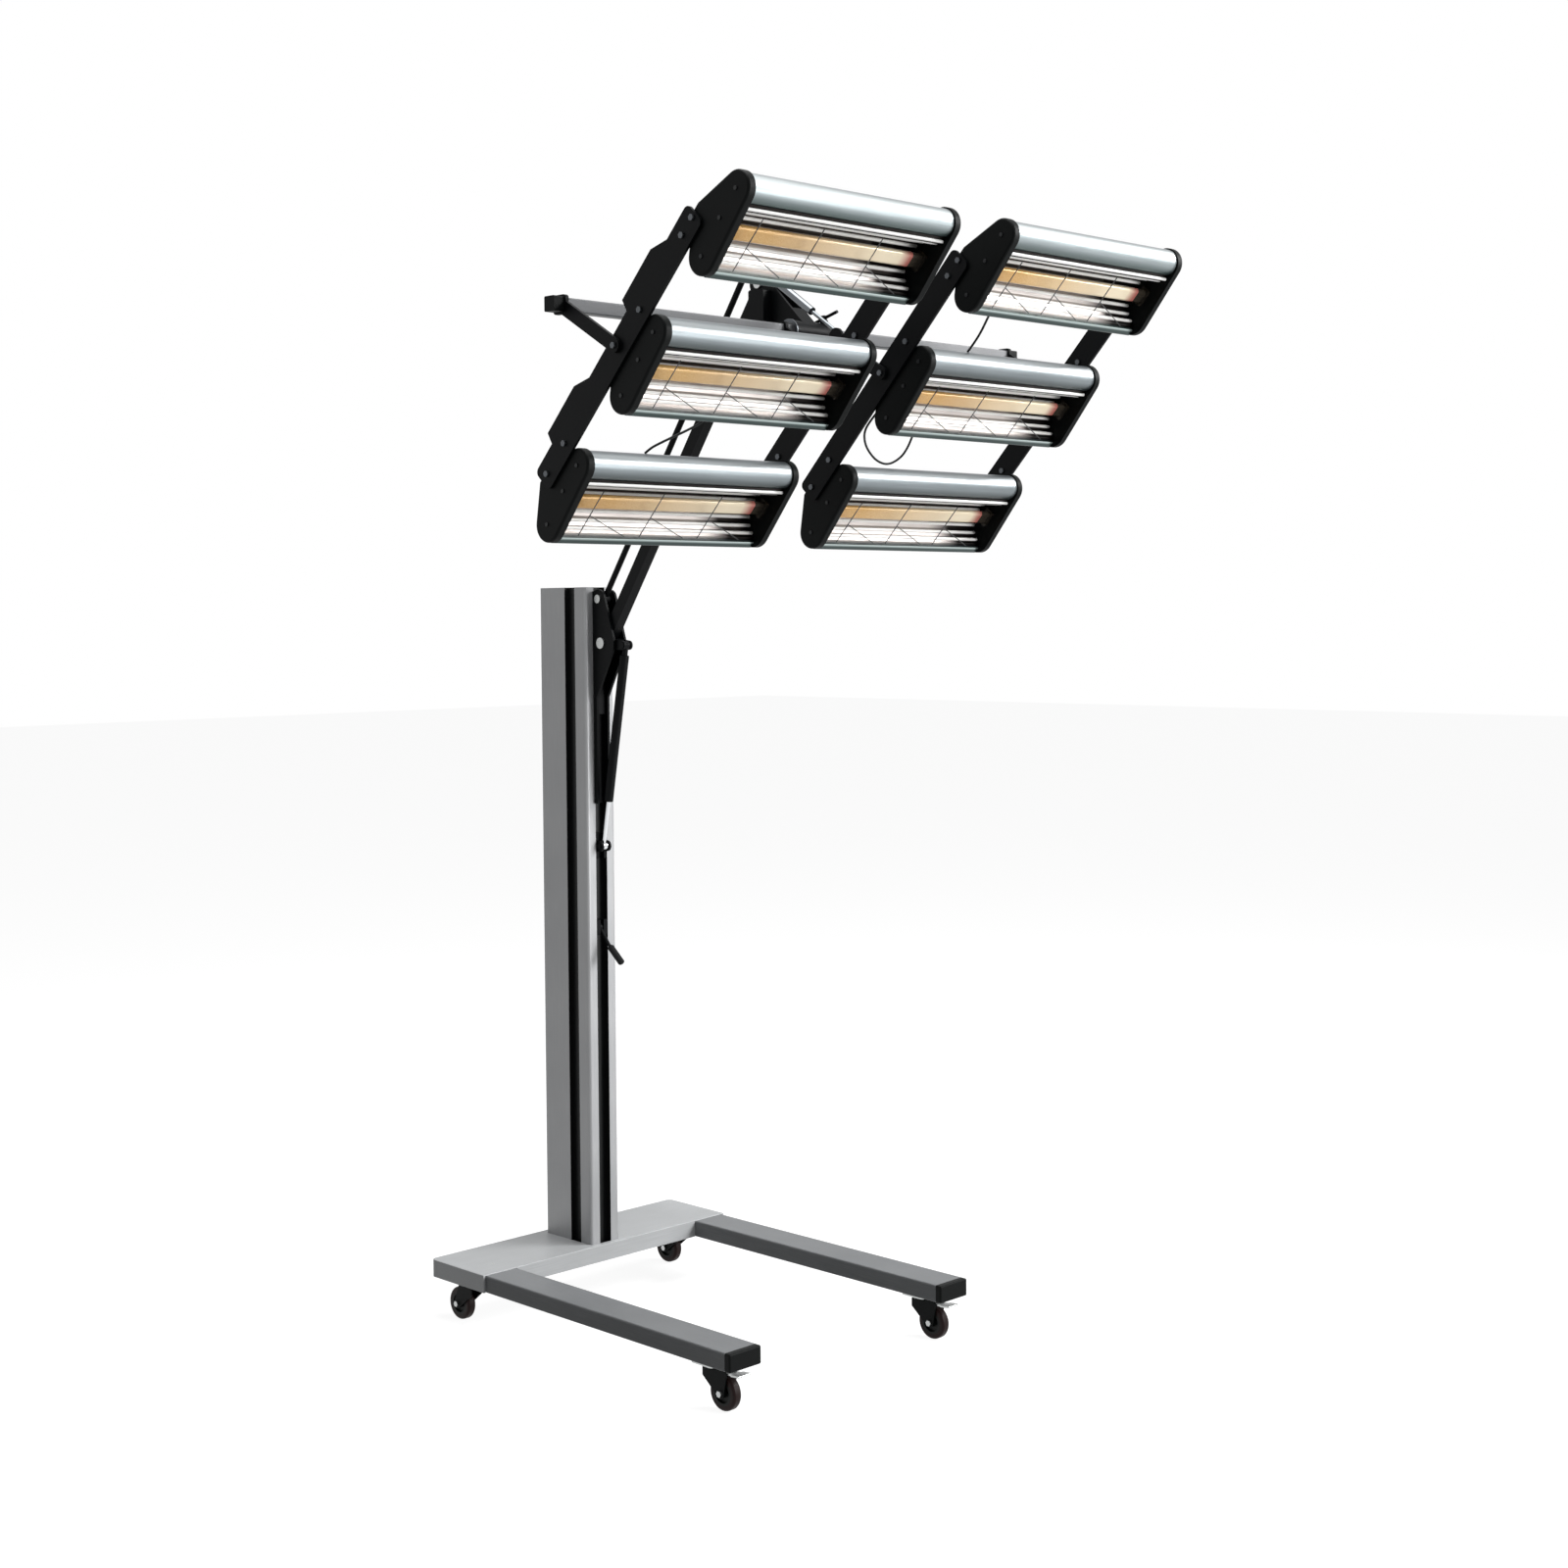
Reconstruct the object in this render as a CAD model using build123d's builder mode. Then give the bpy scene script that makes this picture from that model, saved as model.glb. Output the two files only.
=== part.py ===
"""Infrared paint curing lamp on a wheeled stand, in millimetres.

X runs along the lamp banks, the legs and the lamps point to -Y, and +Z is up.
The origin is the floor point under the column's centre line.
"""

import os
from math import cos, pi, radians, sin, tan

from build123d import *

# Fits and clearances
running_fit = 0.05
seat_gap = 0.3
overrun = 5.0

# Casters
wheel_diameter = 75.0
wheel_width = 22.0
hub_diameter = 52.0
hub_recess = 6.0
hub_rim = 5.0
hub_boss_diameter = 20.0
tyre_round = 6.0
wheel_side_gap = 1.5
fork_plate = 3.5
caster_trail = 30.0
crown_clearance = 3.0
crown_thickness = 6.0
fork_head_diameter = 46.0
fork_head_height = 11.7
fork_head_round = 4.0
fork_foot_radius = 11.0
axle_diameter = 8.0
axle_head_diameter = 14.0
axle_head_height = 5.0
caster_plate_thickness = 3.0
caster_plate_width = 84.0
caster_plate_length = 64.0
caster_plate_corner = 8.0
kingpin_diameter = 12.0
kingpin_nut_diameter = 18.0
kingpin_nut_height = 4.7
pedal_reach = 40.0
pedal_height = 2.0
pedal_length = 46.0
pedal_rise = 4.5
pedal_thickness = 3.5
pedal_pin_diameter = 5.0
pedal_hub_diameter = 10.0
pedal_pad_width = 34.0
pedal_pad_length = 22.0
pedal_boss_radius = 8.0

# Legs and rear cross member
leg_spacing = 646.0
leg_width = 90.0
leg_height = 39.0
leg_wall = 3.0
leg_corner = 4.0
leg_front = -886.0
leg_rear = 97.0
leg_cap_length = 15.0
leg_cap_spigot = 22.0
leg_cap_fit = 0.2
leg_cap_round = 4.0
cover_width = 748.0
cover_depth = 201.0
cover_rear_overhang = 5.4
cover_sheet = 1.5
cover_corner = 15.0
cover_lip = 0.7
cover_cut_gap = 0.6
beam_depth = 190.0
beam_height = 35.0
beam_wall = 4.0
screw_diameter = 5.0
countersink_angle = 45.0
screw_head_diameter = 8.0
screw_length = 8.0
screw_left_inset = 71.0
screw_right_inset = 17.0
screw_rear_y = 79.0
screw_front_y = -35.0
front_caster_y = -811.0
rear_caster_y = 19.0

# Column
column_width = 86.0
column_depth = 170.0
column_wall = 3.5
column_corner = 8.0
column_above_pivot = 132.0
front_slot_width = 34.0
front_slot_depth = 20.0
front_channel_width = 44.0
side_slot_width = 37.0
side_slot_depth = 14.0
side_channel_width = 45.0
side_slot_offset = 28.0
channel_web = 3.0

# Arm bracket and its linkage
bracket_width = 40.0
bracket_reach = 12.0
bracket_web = 3.0
bracket_cheek = 6.0
bracket_bottom = 1189.0
bracket_top = 1690.0
bracket_cheek_bottom = 1440.0
bracket_main_radius = 45.0
bracket_rear_radius = 22.0
slider_gap = 0.5
groove_top = 1400.0
groove_depth = 7.0
main_pivot_reach = 30.0
main_pivot_height = 1568.0
link_spread_y = 9.0
link_spread_z = 104.0
arm_length = 950.0
arm_raise = 55.5
main_link_width = 25.0
main_link_height = 30.0
rear_link_diameter = 14.0
rear_eye_radius = 12.0
rear_eye_width = 16.0
main_pin_diameter = 16.0
rear_pin_diameter = 10.0
pin_head_height = 4.0
pin_head_rim = 5.0

# Lifting strut
ear_reach = 65.0
ear_drop = 5.0
ear_radius = 11.0
ear_gap_half = 8.0
ear_gap_radius = 18.0
ear_bolt_diameter = 10.0
ear_bolt_head_diameter = 16.0
ear_bolt_head_height = 1.2
strut_foot_reach = 8.0
strut_foot_drop = 481.0
strut_diameter = 22.0
strut_start = 24.0
strut_length = 351.0
strut_neck_diameter = 14.0
strut_round = 2.0
strut_eye_radius = 9.0
strut_eye_half = 7.5
strut_rod_diameter = 10.0
strut_rod_inside = 255.0
strut_bore_start = 30.0
strut_foot_half = 7.0
strut_foot_pin_half = 8.2
lug_half_height = 30.0
lug_ear_radius = 13.0
lug_ear_half = 13.0
lug_ear_gap_half = 8.5
lug_bolt_diameter = 12.0
lug_bolt_height = 2.5
lug_floor = 7.0

# Release lever in the column's front slot
lever_pivot_depth = 9.0
lever_pivot_height = 893.0
lever_rod_diameter = 8.0
lever_rod_reach = 32.0
lever_rod_drop = 39.0
lever_grip_reach = 41.0
lever_grip_drop = 35.0
lever_grip_diameter = 16.0
lever_grip_start_share = 0.12
lever_bend_radius = 8.0
lever_eye_radius = 7.0
lever_eye_half = 4.5
lever_pin_diameter = 6.0
lever_ear_half = 10.0
lever_block_half_height = 18.0

# Head bracket
tilt_axis_reach = 119.9
tilt_axis_drop = 117.9
head_main_radius = 26.0
head_rear_radius = 20.0
head_spring_radius = 14.0
head_web = 5.0
saddle_left = 44.0
saddle_right = 57.0
saddle_depth = 46.0
saddle_height = 72.0
saddle_round = 5.0
saddle_forward = 17.0
saddle_drop = 53.0
head_pin_diameter = 12.0
barrel_radius = 26.0
journal_radius = 19.0
barrel_left = 45.0
barrel_right = 62.0
bush_wall = 2.5
bush_length = 20.0
bush_flange_radius = 27.5
bush_flange = 3.0

# Clamp handle
clamp_x = 52.0
clamp_offset = 16.7
clamp_lean = 15.4
clamp_boss_diameter = 18.0
clamp_boss_top = 30.0
clamp_hub_diameter = 16.0
clamp_hub_height = 12.0
clamp_stud_diameter = 8.0
clamp_stud_tip = 23.0
clamp_bar_diameter = 7.0
clamp_bar_length = 117.0
clamp_bar_offset = 15.0

# Tilt spring
spring_x = -56.0
spring_top_y = 73.0
spring_top_z = 140.0
spring_foot_y = -169.4
spring_foot_z = -28.7
spring_diameter = 18.0
spring_start = 15.0
spring_length = 170.0
spring_neck_diameter = 10.0
spring_eye_radius = 9.0
spring_eye_half = 5.0
spring_rod_diameter = 8.0
spring_rod_inside = 100.0
spring_bore_start = 20.0
spring_pin_diameter = 10.0

# Lamp head
head_tilt = 43.75
head_out_reach = 266.6
head_up_reach = 37.7
bar_side = 27.0
bar_wall = 2.5
bar_round = 3.0
bar_overhang = 22.4
bar_end_side = 30.0
bar_end_wall = 3.0
row_pitch = 326.0
cassette_gap = 149.2
cassette_length = 544.0
end_cap_thickness = 18.0
end_cap_round = 5.0
rail_thickness = 6.0
rail_front = 55.0
rail_back = 110.0
rail_top = 317.0
rail_bottom = 330.0
rail_end_round = 12.0
rail_tab_depth = 24.0
rail_tab_high = 236.0
rail_tab_shoulder = 195.0
rail_tab_low = 77.0
rail_tab_foot = 70.0
yoke_width = 28.0
yoke_eye_side = 38.0
yoke_eye_round = 8.0
yoke_plate = 8.0
yoke_joint_u = 5.0
yoke_joint_n = 88.0
bolt_diameter = 8.0
bolt_head_diameter = 13.0
bolt_head_height = 4.0
rail_bolt_line = 82.0
top_bolts = (306.0, 266.0)
row_bolt = 95.0
low_bolt = 17.0

# Cassette section, measured from the row's centre: up (u) and outward (n)
roll_radius = 28.0
roll_u = 87.0
roll_n = -30.0
housing_wall = 2.5
back_depth = 75.0
back_top = 55.0
back_bottom = 50.0
rail_box_top = 75.0
rail_box_bottom = 93.0
rail_box_depth = 18.0
rail_box_corner = 4.0
reflector_u = -8.0
reflector_n = -8.0
reflector_half_height = 62.0
reflector_depth = 56.0
reflector_sheet = 1.2
flute_count = 9
flute_depth = 3.0
reflector_lip = 1.5
cap_upper_radius = 34.0
cap_upper_u = 84.0
cap_upper_n = -30.0
cap_lower_radius = 36.0
cap_lower_u = -60.0
cap_lower_n = -20.0
cap_pad_back = 95.0
cap_pad_top = 5.0
cap_pad_bottom = 15.0
lamp_u = -5.0
lamp_n = -30.0
lamp_height = 33.0
lamp_thickness = 15.0
lamp_bore = 11.0
lamp_bore_spacing = 16.0
lamp_holder_length = 6.0
lamp_holder_height = 42.0
lamp_holder_depth = 24.0

# Cords between the cassettes
cord_diameter = 5.0
cord_top_depth = 50.0
cord_loop_depth = 60.0

# Points of the cords, as (across, up) from the head's centre
upper_cord_route = (
    (222.0, 250.0),
    (222.0, 235.0),
    (228.0, 200.0),
    (236.0, 165.0),
    (238.0, 135.0),
    (236.0, 108.0),
)
loop_cord_route = (
    (97.0, -76.0),
    (93.0, -100.0),
    (95.0, -130.0),
    (118.0, -160.0),
    (150.0, -185.0),
    (195.0, -210.0),
    (238.0, -218.0),
    (262.0, -195.0),
    (262.0, -165.0),
    (252.0, -132.0),
    (247.0, -105.0),
    (245.0, -85.0),
)
left_cord_route = (
    (-372.0, -78.0),
    (-374.0, -95.0),
    (-385.0, -130.0),
    (-410.0, -152.0),
    (-438.0, -172.0),
    (-465.0, -192.0),
    (-480.0, -205.0),
    (-486.0, -218.5),
)
arc_share = 0.45

sides = {"left": -1, "right": 1}
rows = {"top": 1, "middle": 0, "bottom": -1}

# Levels of the base, from the floor up
fork_clearance = wheel_diameter + crown_clearance
fork_top = fork_clearance + crown_thickness + fork_head_height
plate_bottom = fork_top + seat_gap
leg_bottom = plate_bottom + caster_plate_thickness
leg_top = leg_bottom + leg_height
beam_top = leg_bottom + beam_height
leg_x = leg_spacing / 2
column_front = -column_depth / 2
column_top = main_pivot_height + column_above_pivot
strut_foot_height = main_pivot_height - strut_foot_drop

# Linkage points in the side plane, as (y, z)
main_pivot = Vector(0, column_front - main_pivot_reach, main_pivot_height)
rear_pivot = main_pivot + Vector(0, link_spread_y, link_spread_z)
arm_direction = Vector(0, -cos(radians(arm_raise)), sin(radians(arm_raise)))
head_main_pivot = main_pivot + arm_direction * arm_length
head_rear_pivot = rear_pivot + arm_direction * arm_length
strut_head = main_pivot + Vector(0, -ear_reach, -ear_drop)
strut_foot = Vector(0, column_front - strut_foot_reach, strut_foot_height)
tilt_axis = head_main_pivot + Vector(0, -tilt_axis_reach, -tilt_axis_drop)
spring_head = tilt_axis + Vector(0, spring_top_y, spring_top_z)
spring_foot = tilt_axis + Vector(0, spring_foot_y, spring_foot_z)

# Directions of the lamp head
along = Vector(1, 0, 0)
head_up = Vector(0, -sin(radians(head_tilt)), cos(radians(head_tilt)))
head_out = Vector(0, -cos(radians(head_tilt)), -sin(radians(head_tilt)))
head_centre = tilt_axis + head_out * head_out_reach + head_up * head_up_reach
cap_inner = cassette_gap / 2 + rail_thickness
bank_x = cap_inner + end_cap_thickness + cassette_length / 2
rail_outer_x = bank_x + cassette_length / 2 + end_cap_thickness
yoke_outer_x = rail_outer_x + rail_thickness
yoke_inner_x = cassette_gap / 2
bar_end = yoke_outer_x + yoke_plate + bar_overhang

os.makedirs("parts", exist_ok=True)


def side_plane(x=0.0):
    """Plane across X, with local axes along +Y and +Z."""
    return Plane.YZ.offset(x)


def flat(point):
    """Side-plane coordinates of a point."""
    return (point.Y, point.Z)


def head_plane(x, row=0):
    """Plane across X through a row's centre, with local axes up and outward."""
    centre = head_centre + along * x + head_up * (row * row_pitch)
    return Plane(origin=centre, x_dir=head_up, z_dir=along)


def strut_plane(start, end):
    """Side plane with its local x axis from one strut pivot to the other."""
    return Plane(origin=start, x_dir=end - start, z_dir=along)


def strut_tube(start, end, first, last, radius):
    """Round bar on the line between two pivots, from one distance to another."""
    with BuildSketch(strut_plane(start, end)) as half:
        with Locations(((first + last) / 2, radius / 2)):
            Rectangle(last - first, radius)
    revolve(half.sketch, axis=Axis(start, end - start))


# Base: cross beam, cover, legs and column
with BuildPart() as rear_beam:
    with BuildSketch(side_plane(-(leg_x - leg_width / 2))):
        with Locations((leg_rear - beam_depth / 2, leg_bottom + beam_height / 2)):
            Rectangle(beam_depth, beam_height)
            Rectangle(beam_depth - 2 * beam_wall, beam_height - 2 * beam_wall, mode=Mode.SUBTRACT)
    extrude(amount=leg_spacing - leg_width)
rear_beam.part.label = "rear_beam"
export_step(rear_beam.part, "parts/rear_beam.step")

cover_y = leg_rear + cover_rear_overhang - cover_depth / 2
cover_front = cover_y - cover_depth / 2
skirt_bottom = leg_bottom + cover_lip
screw_places = [
    (-leg_x - leg_width / 2 + screw_left_inset, screw_rear_y),
    (-leg_x - leg_width / 2 + screw_left_inset, screw_front_y),
    (leg_x + leg_width / 2 - screw_right_inset, screw_rear_y),
    (leg_x + leg_width / 2 - screw_right_inset, screw_front_y),
]

with BuildPart() as base_cover:
    with BuildSketch(Plane.XY.offset(skirt_bottom)) as cover_outline:
        with Locations((0, cover_y)):
            Rectangle(cover_width, cover_depth)
        fillet(cover_outline.vertices().group_by(Axis.Y)[-1], cover_corner)
    extrude(amount=leg_top + cover_sheet - skirt_bottom)
    fillet(base_cover.faces().sort_by(Axis.Z)[-1].edges(), cover_sheet)
    with BuildSketch(Plane.XY.offset(skirt_bottom)) as cover_inside:
        with Locations((0, cover_y)):
            Rectangle(cover_width - 2 * cover_sheet, cover_depth - 2 * cover_sheet)
        fillet(cover_inside.vertices().group_by(Axis.Y)[-1], cover_corner - cover_sheet)
    extrude(amount=leg_top - skirt_bottom, mode=Mode.SUBTRACT)
    with BuildSketch(Plane.XZ.offset(-cover_front)):
        with Locations((-leg_x, leg_bottom), (leg_x, leg_bottom)):
            Rectangle(leg_width + 2 * cover_cut_gap, 2 * leg_height)
    extrude(amount=2 * cover_sheet, both=True, mode=Mode.SUBTRACT)
    with BuildSketch(Plane.XY.offset(leg_top)):
        RectangleRounded(column_width + 2 * cover_cut_gap, column_depth + 2 * cover_cut_gap, column_corner)
        with Locations(screw_places):
            Circle(screw_diameter / 2 + running_fit)
    extrude(amount=cover_sheet + overrun, mode=Mode.SUBTRACT)
    with BuildSketch(Plane.XY.offset(leg_top + cover_sheet)):
        with Locations(screw_places):
            Circle(screw_head_diameter / 2 + running_fit)
    extrude(amount=-cover_sheet, taper=countersink_angle, mode=Mode.SUBTRACT)
base_cover.part.label = "base_cover"
export_step(base_cover.part, "parts/base_cover.step")

for side_name, side in sides.items():
    with BuildPart() as leg:
        with BuildSketch(Plane.XZ.offset(-leg_rear)):
            with Locations((side * leg_x, leg_bottom + leg_height / 2)):
                RectangleRounded(leg_width, leg_height, leg_corner)
                RectangleRounded(
                    leg_width - 2 * leg_wall,
                    leg_height - 2 * leg_wall,
                    leg_corner - leg_wall,
                    mode=Mode.SUBTRACT,
                )
        extrude(amount=leg_rear - leg_front)
        with BuildSketch(Plane.XY.offset(leg_top)):
            with Locations([place for place in screw_places if place[0] * side > 0]):
                Circle(screw_diameter / 2 + running_fit)
        extrude(amount=-leg_wall - overrun, mode=Mode.SUBTRACT)
    leg.part.label = f"{side_name}_leg"
    export_step(leg.part, f"parts/{side_name}_leg.step")

with BuildPart() as leg_caps:
    for side in sides.values():
        with BuildSketch(Plane.XZ.offset(-leg_front)):
            with Locations((side * leg_x, leg_bottom + leg_height / 2)):
                RectangleRounded(leg_width, leg_height, leg_corner)
        extrude(amount=leg_cap_length)
        with BuildSketch(Plane.XZ.offset(-leg_front)):
            with Locations((side * leg_x, leg_bottom + leg_height / 2)):
                RectangleRounded(
                    leg_width - 2 * leg_wall - 2 * leg_cap_fit,
                    leg_height - 2 * leg_wall - 2 * leg_cap_fit,
                    leg_corner - leg_wall,
                )
        extrude(amount=-leg_cap_spigot)
    fillet(leg_caps.faces().group_by(Axis.Y)[0].edges(), leg_cap_round)
leg_caps.part.label = "leg_caps"
export_step(leg_caps.part, "parts/leg_caps.step")

with BuildPart() as cover_screws:
    with BuildSketch(Plane.XY.offset(leg_top + cover_sheet)):
        with Locations(screw_places):
            Circle(screw_head_diameter / 2)
    extrude(amount=-cover_sheet, taper=countersink_angle)
    with BuildSketch(Plane.XY.offset(leg_top + cover_sheet)):
        with Locations(screw_places):
            Circle(screw_diameter / 2)
    extrude(amount=-screw_length)
cover_screws.part.label = "cover_screws"
export_step(cover_screws.part, "parts/cover_screws.step")

with BuildPart() as column:
    with BuildSketch(Plane.XY.offset(beam_top)):
        RectangleRounded(column_width, column_depth, column_corner)
        RectangleRounded(
            column_width - 2 * column_wall, column_depth - 2 * column_wall, column_corner - column_wall,
            mode=Mode.SUBTRACT,
        )
        with Locations((0, column_front + (front_slot_depth + channel_web) / 2)):
            Rectangle(front_channel_width + 2 * channel_web, front_slot_depth + channel_web)
        for side in sides.values():
            web_x = column_width / 2 - (side_slot_depth + channel_web) / 2
            with Locations((side * web_x, -side_slot_offset)):
                Rectangle(side_slot_depth + channel_web, side_channel_width + 2 * channel_web)
        with Locations((0, column_front + (front_slot_depth + column_wall) / 2)):
            Rectangle(front_channel_width, front_slot_depth - column_wall, mode=Mode.SUBTRACT)
        with Locations((0, column_front)):
            Rectangle(front_slot_width, 4 * column_wall, mode=Mode.SUBTRACT)
        for side in sides.values():
            wall_x = column_width / 2 - (side_slot_depth + column_wall) / 2
            with Locations((side * wall_x, -side_slot_offset)):
                Rectangle(side_slot_depth - column_wall, side_channel_width, mode=Mode.SUBTRACT)
            with Locations((side * column_width / 2, -side_slot_offset)):
                Rectangle(4 * column_wall, side_slot_width, mode=Mode.SUBTRACT)
    extrude(amount=column_top - beam_top)
column.part.label = "column"
export_step(column.part, "parts/column.step")

# Arm bracket: two cheeks on a channel that is held in the column's front slot
cheek_inner = bracket_width / 2 - bracket_cheek
tongue_back = front_slot_depth - slider_gap


def slot_slider(bottom, top):
    """Slider that fills the column's front slot and its wider channel."""
    with BuildSketch(Plane.XY.offset(bottom)) as section:
        with Locations((0, column_front + (column_wall + slider_gap) / 2)):
            Rectangle(front_slot_width - 2 * slider_gap, column_wall + slider_gap)
        with Locations((0, column_front + (column_wall + slider_gap + tongue_back) / 2)):
            Rectangle(front_channel_width - 2 * slider_gap, tongue_back - column_wall - slider_gap)
    extrude(section.sketch, amount=top - bottom)


with BuildPart() as arm_bracket:
    for side in sides.values():
        with BuildSketch(side_plane(side * (cheek_inner + bracket_cheek / 2))):
            with Locations(flat(main_pivot)):
                Circle(bracket_main_radius)
            with Locations(flat(rear_pivot)):
                Circle(bracket_rear_radius)
            with Locations((column_front - bracket_reach / 2, (bracket_top + bracket_cheek_bottom) / 2)):
                Rectangle(bracket_reach, bracket_top - bracket_cheek_bottom)
            make_hull()
        extrude(amount=bracket_cheek / 2, both=True)
    with BuildSketch(side_plane()):
        with Locations((column_front + bracket_main_radius, main_pivot_height)):
            Rectangle(2 * bracket_main_radius, 2 * (bracket_top - bracket_bottom))
    extrude(amount=bracket_width, both=True, mode=Mode.SUBTRACT)
    with BuildSketch(Plane.XY.offset(bracket_bottom)):
        with Locations((0, column_front - bracket_reach / 2)):
            Rectangle(bracket_width, bracket_reach)
        with Locations((0, column_front - (bracket_reach + bracket_web) / 2)):
            Rectangle(2 * cheek_inner, bracket_reach - bracket_web, mode=Mode.SUBTRACT)
    extrude(amount=bracket_top - bracket_bottom)
    slot_slider(bracket_bottom, bracket_top)
    with BuildSketch(Plane.XY.offset(bracket_bottom)):
        with Locations((0, column_front + (groove_depth - bracket_reach) / 2)):
            Rectangle(2 * cheek_inner, groove_depth + bracket_reach)
    extrude(amount=groove_top - bracket_bottom, mode=Mode.SUBTRACT)
    with BuildSketch(side_plane()):
        with Locations(flat(main_pivot)):
            Circle(main_pin_diameter / 2 + running_fit)
        with Locations(flat(rear_pivot)):
            Circle(rear_pin_diameter / 2 + running_fit)
    extrude(amount=bracket_width, both=True, mode=Mode.SUBTRACT)
arm_bracket.part.label = "arm_bracket"
export_step(arm_bracket.part, "parts/arm_bracket.step")


def cross_pin(centre, diameter, half_width):
    """Headed pin across X through the two cheeks of a bracket."""
    with BuildSketch(side_plane()) as shank:
        with Locations(flat(centre)):
            Circle(diameter / 2)
    extrude(shank.sketch, amount=half_width, both=True)
    for side in sides.values():
        with BuildSketch(side_plane(side * half_width)) as head:
            with Locations(flat(centre)):
                Circle(diameter / 2 + pin_head_rim)
        extrude(head.sketch, amount=side * pin_head_height)


with BuildPart() as bracket_pins:
    cross_pin(main_pivot, main_pin_diameter, bracket_width / 2)
    cross_pin(rear_pivot, rear_pin_diameter, bracket_width / 2)
bracket_pins.part.label = "bracket_pins"
export_step(bracket_pins.part, "parts/bracket_pins.step")

# Lugs in the front slot, for the strut's foot and for the release lever
lever_pivot = Vector(0, column_front + lever_pivot_depth, lever_pivot_height)
recess_run = front_slot_depth + strut_foot_reach + 2 * lug_ear_radius
strut_recess_back = column_front + front_slot_depth - lug_floor
lever_recess_back = lever_pivot.Y + lever_eye_radius + seat_gap

with BuildPart() as slot_lugs:
    slot_slider(strut_foot_height - lug_half_height, strut_foot_height + lug_half_height)
    slot_slider(lever_pivot_height - lever_block_half_height, lever_pivot_height + lever_block_half_height)
    with BuildSketch(side_plane()):
        with Locations(flat(strut_foot)):
            Circle(lug_ear_radius)
        with Locations((column_front, strut_foot_height)):
            Rectangle(2 * column_wall, 2 * lug_ear_radius)
        make_hull()
    extrude(amount=lug_ear_half, both=True)
    with BuildSketch(side_plane()):
        with Locations((strut_recess_back - recess_run / 2, strut_foot_height)):
            Rectangle(recess_run, 4 * lug_half_height)
    extrude(amount=lug_ear_gap_half, both=True, mode=Mode.SUBTRACT)
    for side in sides.values():
        with BuildSketch(side_plane(side * lug_ear_half)):
            with Locations(flat(strut_foot)):
                Circle(lug_bolt_diameter / 2)
        extrude(amount=side * lug_bolt_height)
    with BuildSketch(side_plane()):
        with Locations((lever_recess_back - recess_run / 2, lever_pivot_height)):
            Rectangle(recess_run, 4 * lever_block_half_height)
    extrude(amount=lever_eye_half + seat_gap, both=True, mode=Mode.SUBTRACT)
    with BuildSketch(side_plane()):
        with Locations(flat(lever_pivot)):
            Circle(lever_pin_diameter / 2)
    extrude(amount=lever_ear_half, both=True)
slot_lugs.part.label = "slot_lugs"
export_step(slot_lugs.part, "parts/slot_lugs.step")

lever_knee = lever_pivot + Vector(0, -lever_rod_reach, -lever_rod_drop)
lever_tip = lever_knee + Vector(0, -lever_grip_reach, -lever_grip_drop)
lever_grip_start = lever_knee + (lever_tip - lever_knee) * lever_grip_start_share

with BuildPart() as release_lever:
    with BuildLine():
        lever_path = FilletPolyline(lever_pivot, lever_knee, lever_tip, radius=lever_bend_radius)
    with BuildSketch(Plane(origin=lever_pivot, z_dir=lever_knee - lever_pivot)):
        Circle(lever_rod_diameter / 2)
    sweep(path=lever_path)
    with BuildSketch(side_plane()):
        with Locations(flat(lever_pivot)):
            Circle(lever_eye_radius)
    extrude(amount=lever_eye_half, both=True)
    with BuildSketch(side_plane()):
        with Locations(flat(lever_pivot)):
            Circle(lever_pin_diameter / 2 + running_fit)
    extrude(amount=lever_eye_half + overrun, both=True, mode=Mode.SUBTRACT)
release_lever.part.label = "release_lever"
export_step(release_lever.part, "parts/release_lever.step")

grip_run = (lever_tip - lever_grip_start).length
with BuildPart() as lever_grip:
    with BuildSketch(strut_plane(lever_grip_start, lever_tip)):
        with Locations(((grip_run + lever_grip_diameter / 2) / 2, lever_grip_diameter / 4)):
            Rectangle(grip_run + lever_grip_diameter / 2, lever_grip_diameter / 2)
    revolve(axis=Axis(lever_grip_start, lever_tip - lever_grip_start))
    fillet(lever_grip.edges().filter_by(GeomType.CIRCLE), lever_grip_diameter / 4)
    with BuildSketch(strut_plane(lever_grip_start, lever_tip)):
        with Locations((grip_run / 2 - overrun, lever_rod_diameter / 4)):
            Rectangle(grip_run + 2 * overrun, lever_rod_diameter / 2)
    revolve(axis=Axis(lever_grip_start, lever_tip - lever_grip_start), mode=Mode.SUBTRACT)
lever_grip.part.label = "lever_grip"
export_step(lever_grip.part, "parts/lever_grip.step")

# Parallel links and the lifting strut
with BuildPart() as main_link:
    with BuildSketch(side_plane()):
        with Locations(flat(main_pivot), flat(head_main_pivot)):
            Circle(main_link_height / 2)
        make_hull()
    extrude(amount=main_link_width / 2, both=True)
    with BuildSketch(side_plane()):
        with Locations(flat(main_pivot)):
            Circle(main_link_height / 2)
        with Locations(flat(strut_head)):
            Circle(ear_radius)
        make_hull()
    extrude(amount=main_link_width / 2, both=True)
    with BuildSketch(side_plane()):
        with Locations(flat(strut_head)):
            Circle(ear_gap_radius)
    extrude(amount=ear_gap_half, both=True, mode=Mode.SUBTRACT)
    with BuildSketch(side_plane()):
        with Locations(flat(main_pivot)):
            Circle(main_pin_diameter / 2 + running_fit)
        with Locations(flat(head_main_pivot)):
            Circle(head_pin_diameter / 2 + running_fit)
        with Locations(flat(strut_head)):
            Circle(ear_bolt_diameter / 2 + running_fit)
    extrude(amount=main_link_width, both=True, mode=Mode.SUBTRACT)
main_link.part.label = "main_link"
export_step(main_link.part, "parts/main_link.step")

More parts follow.
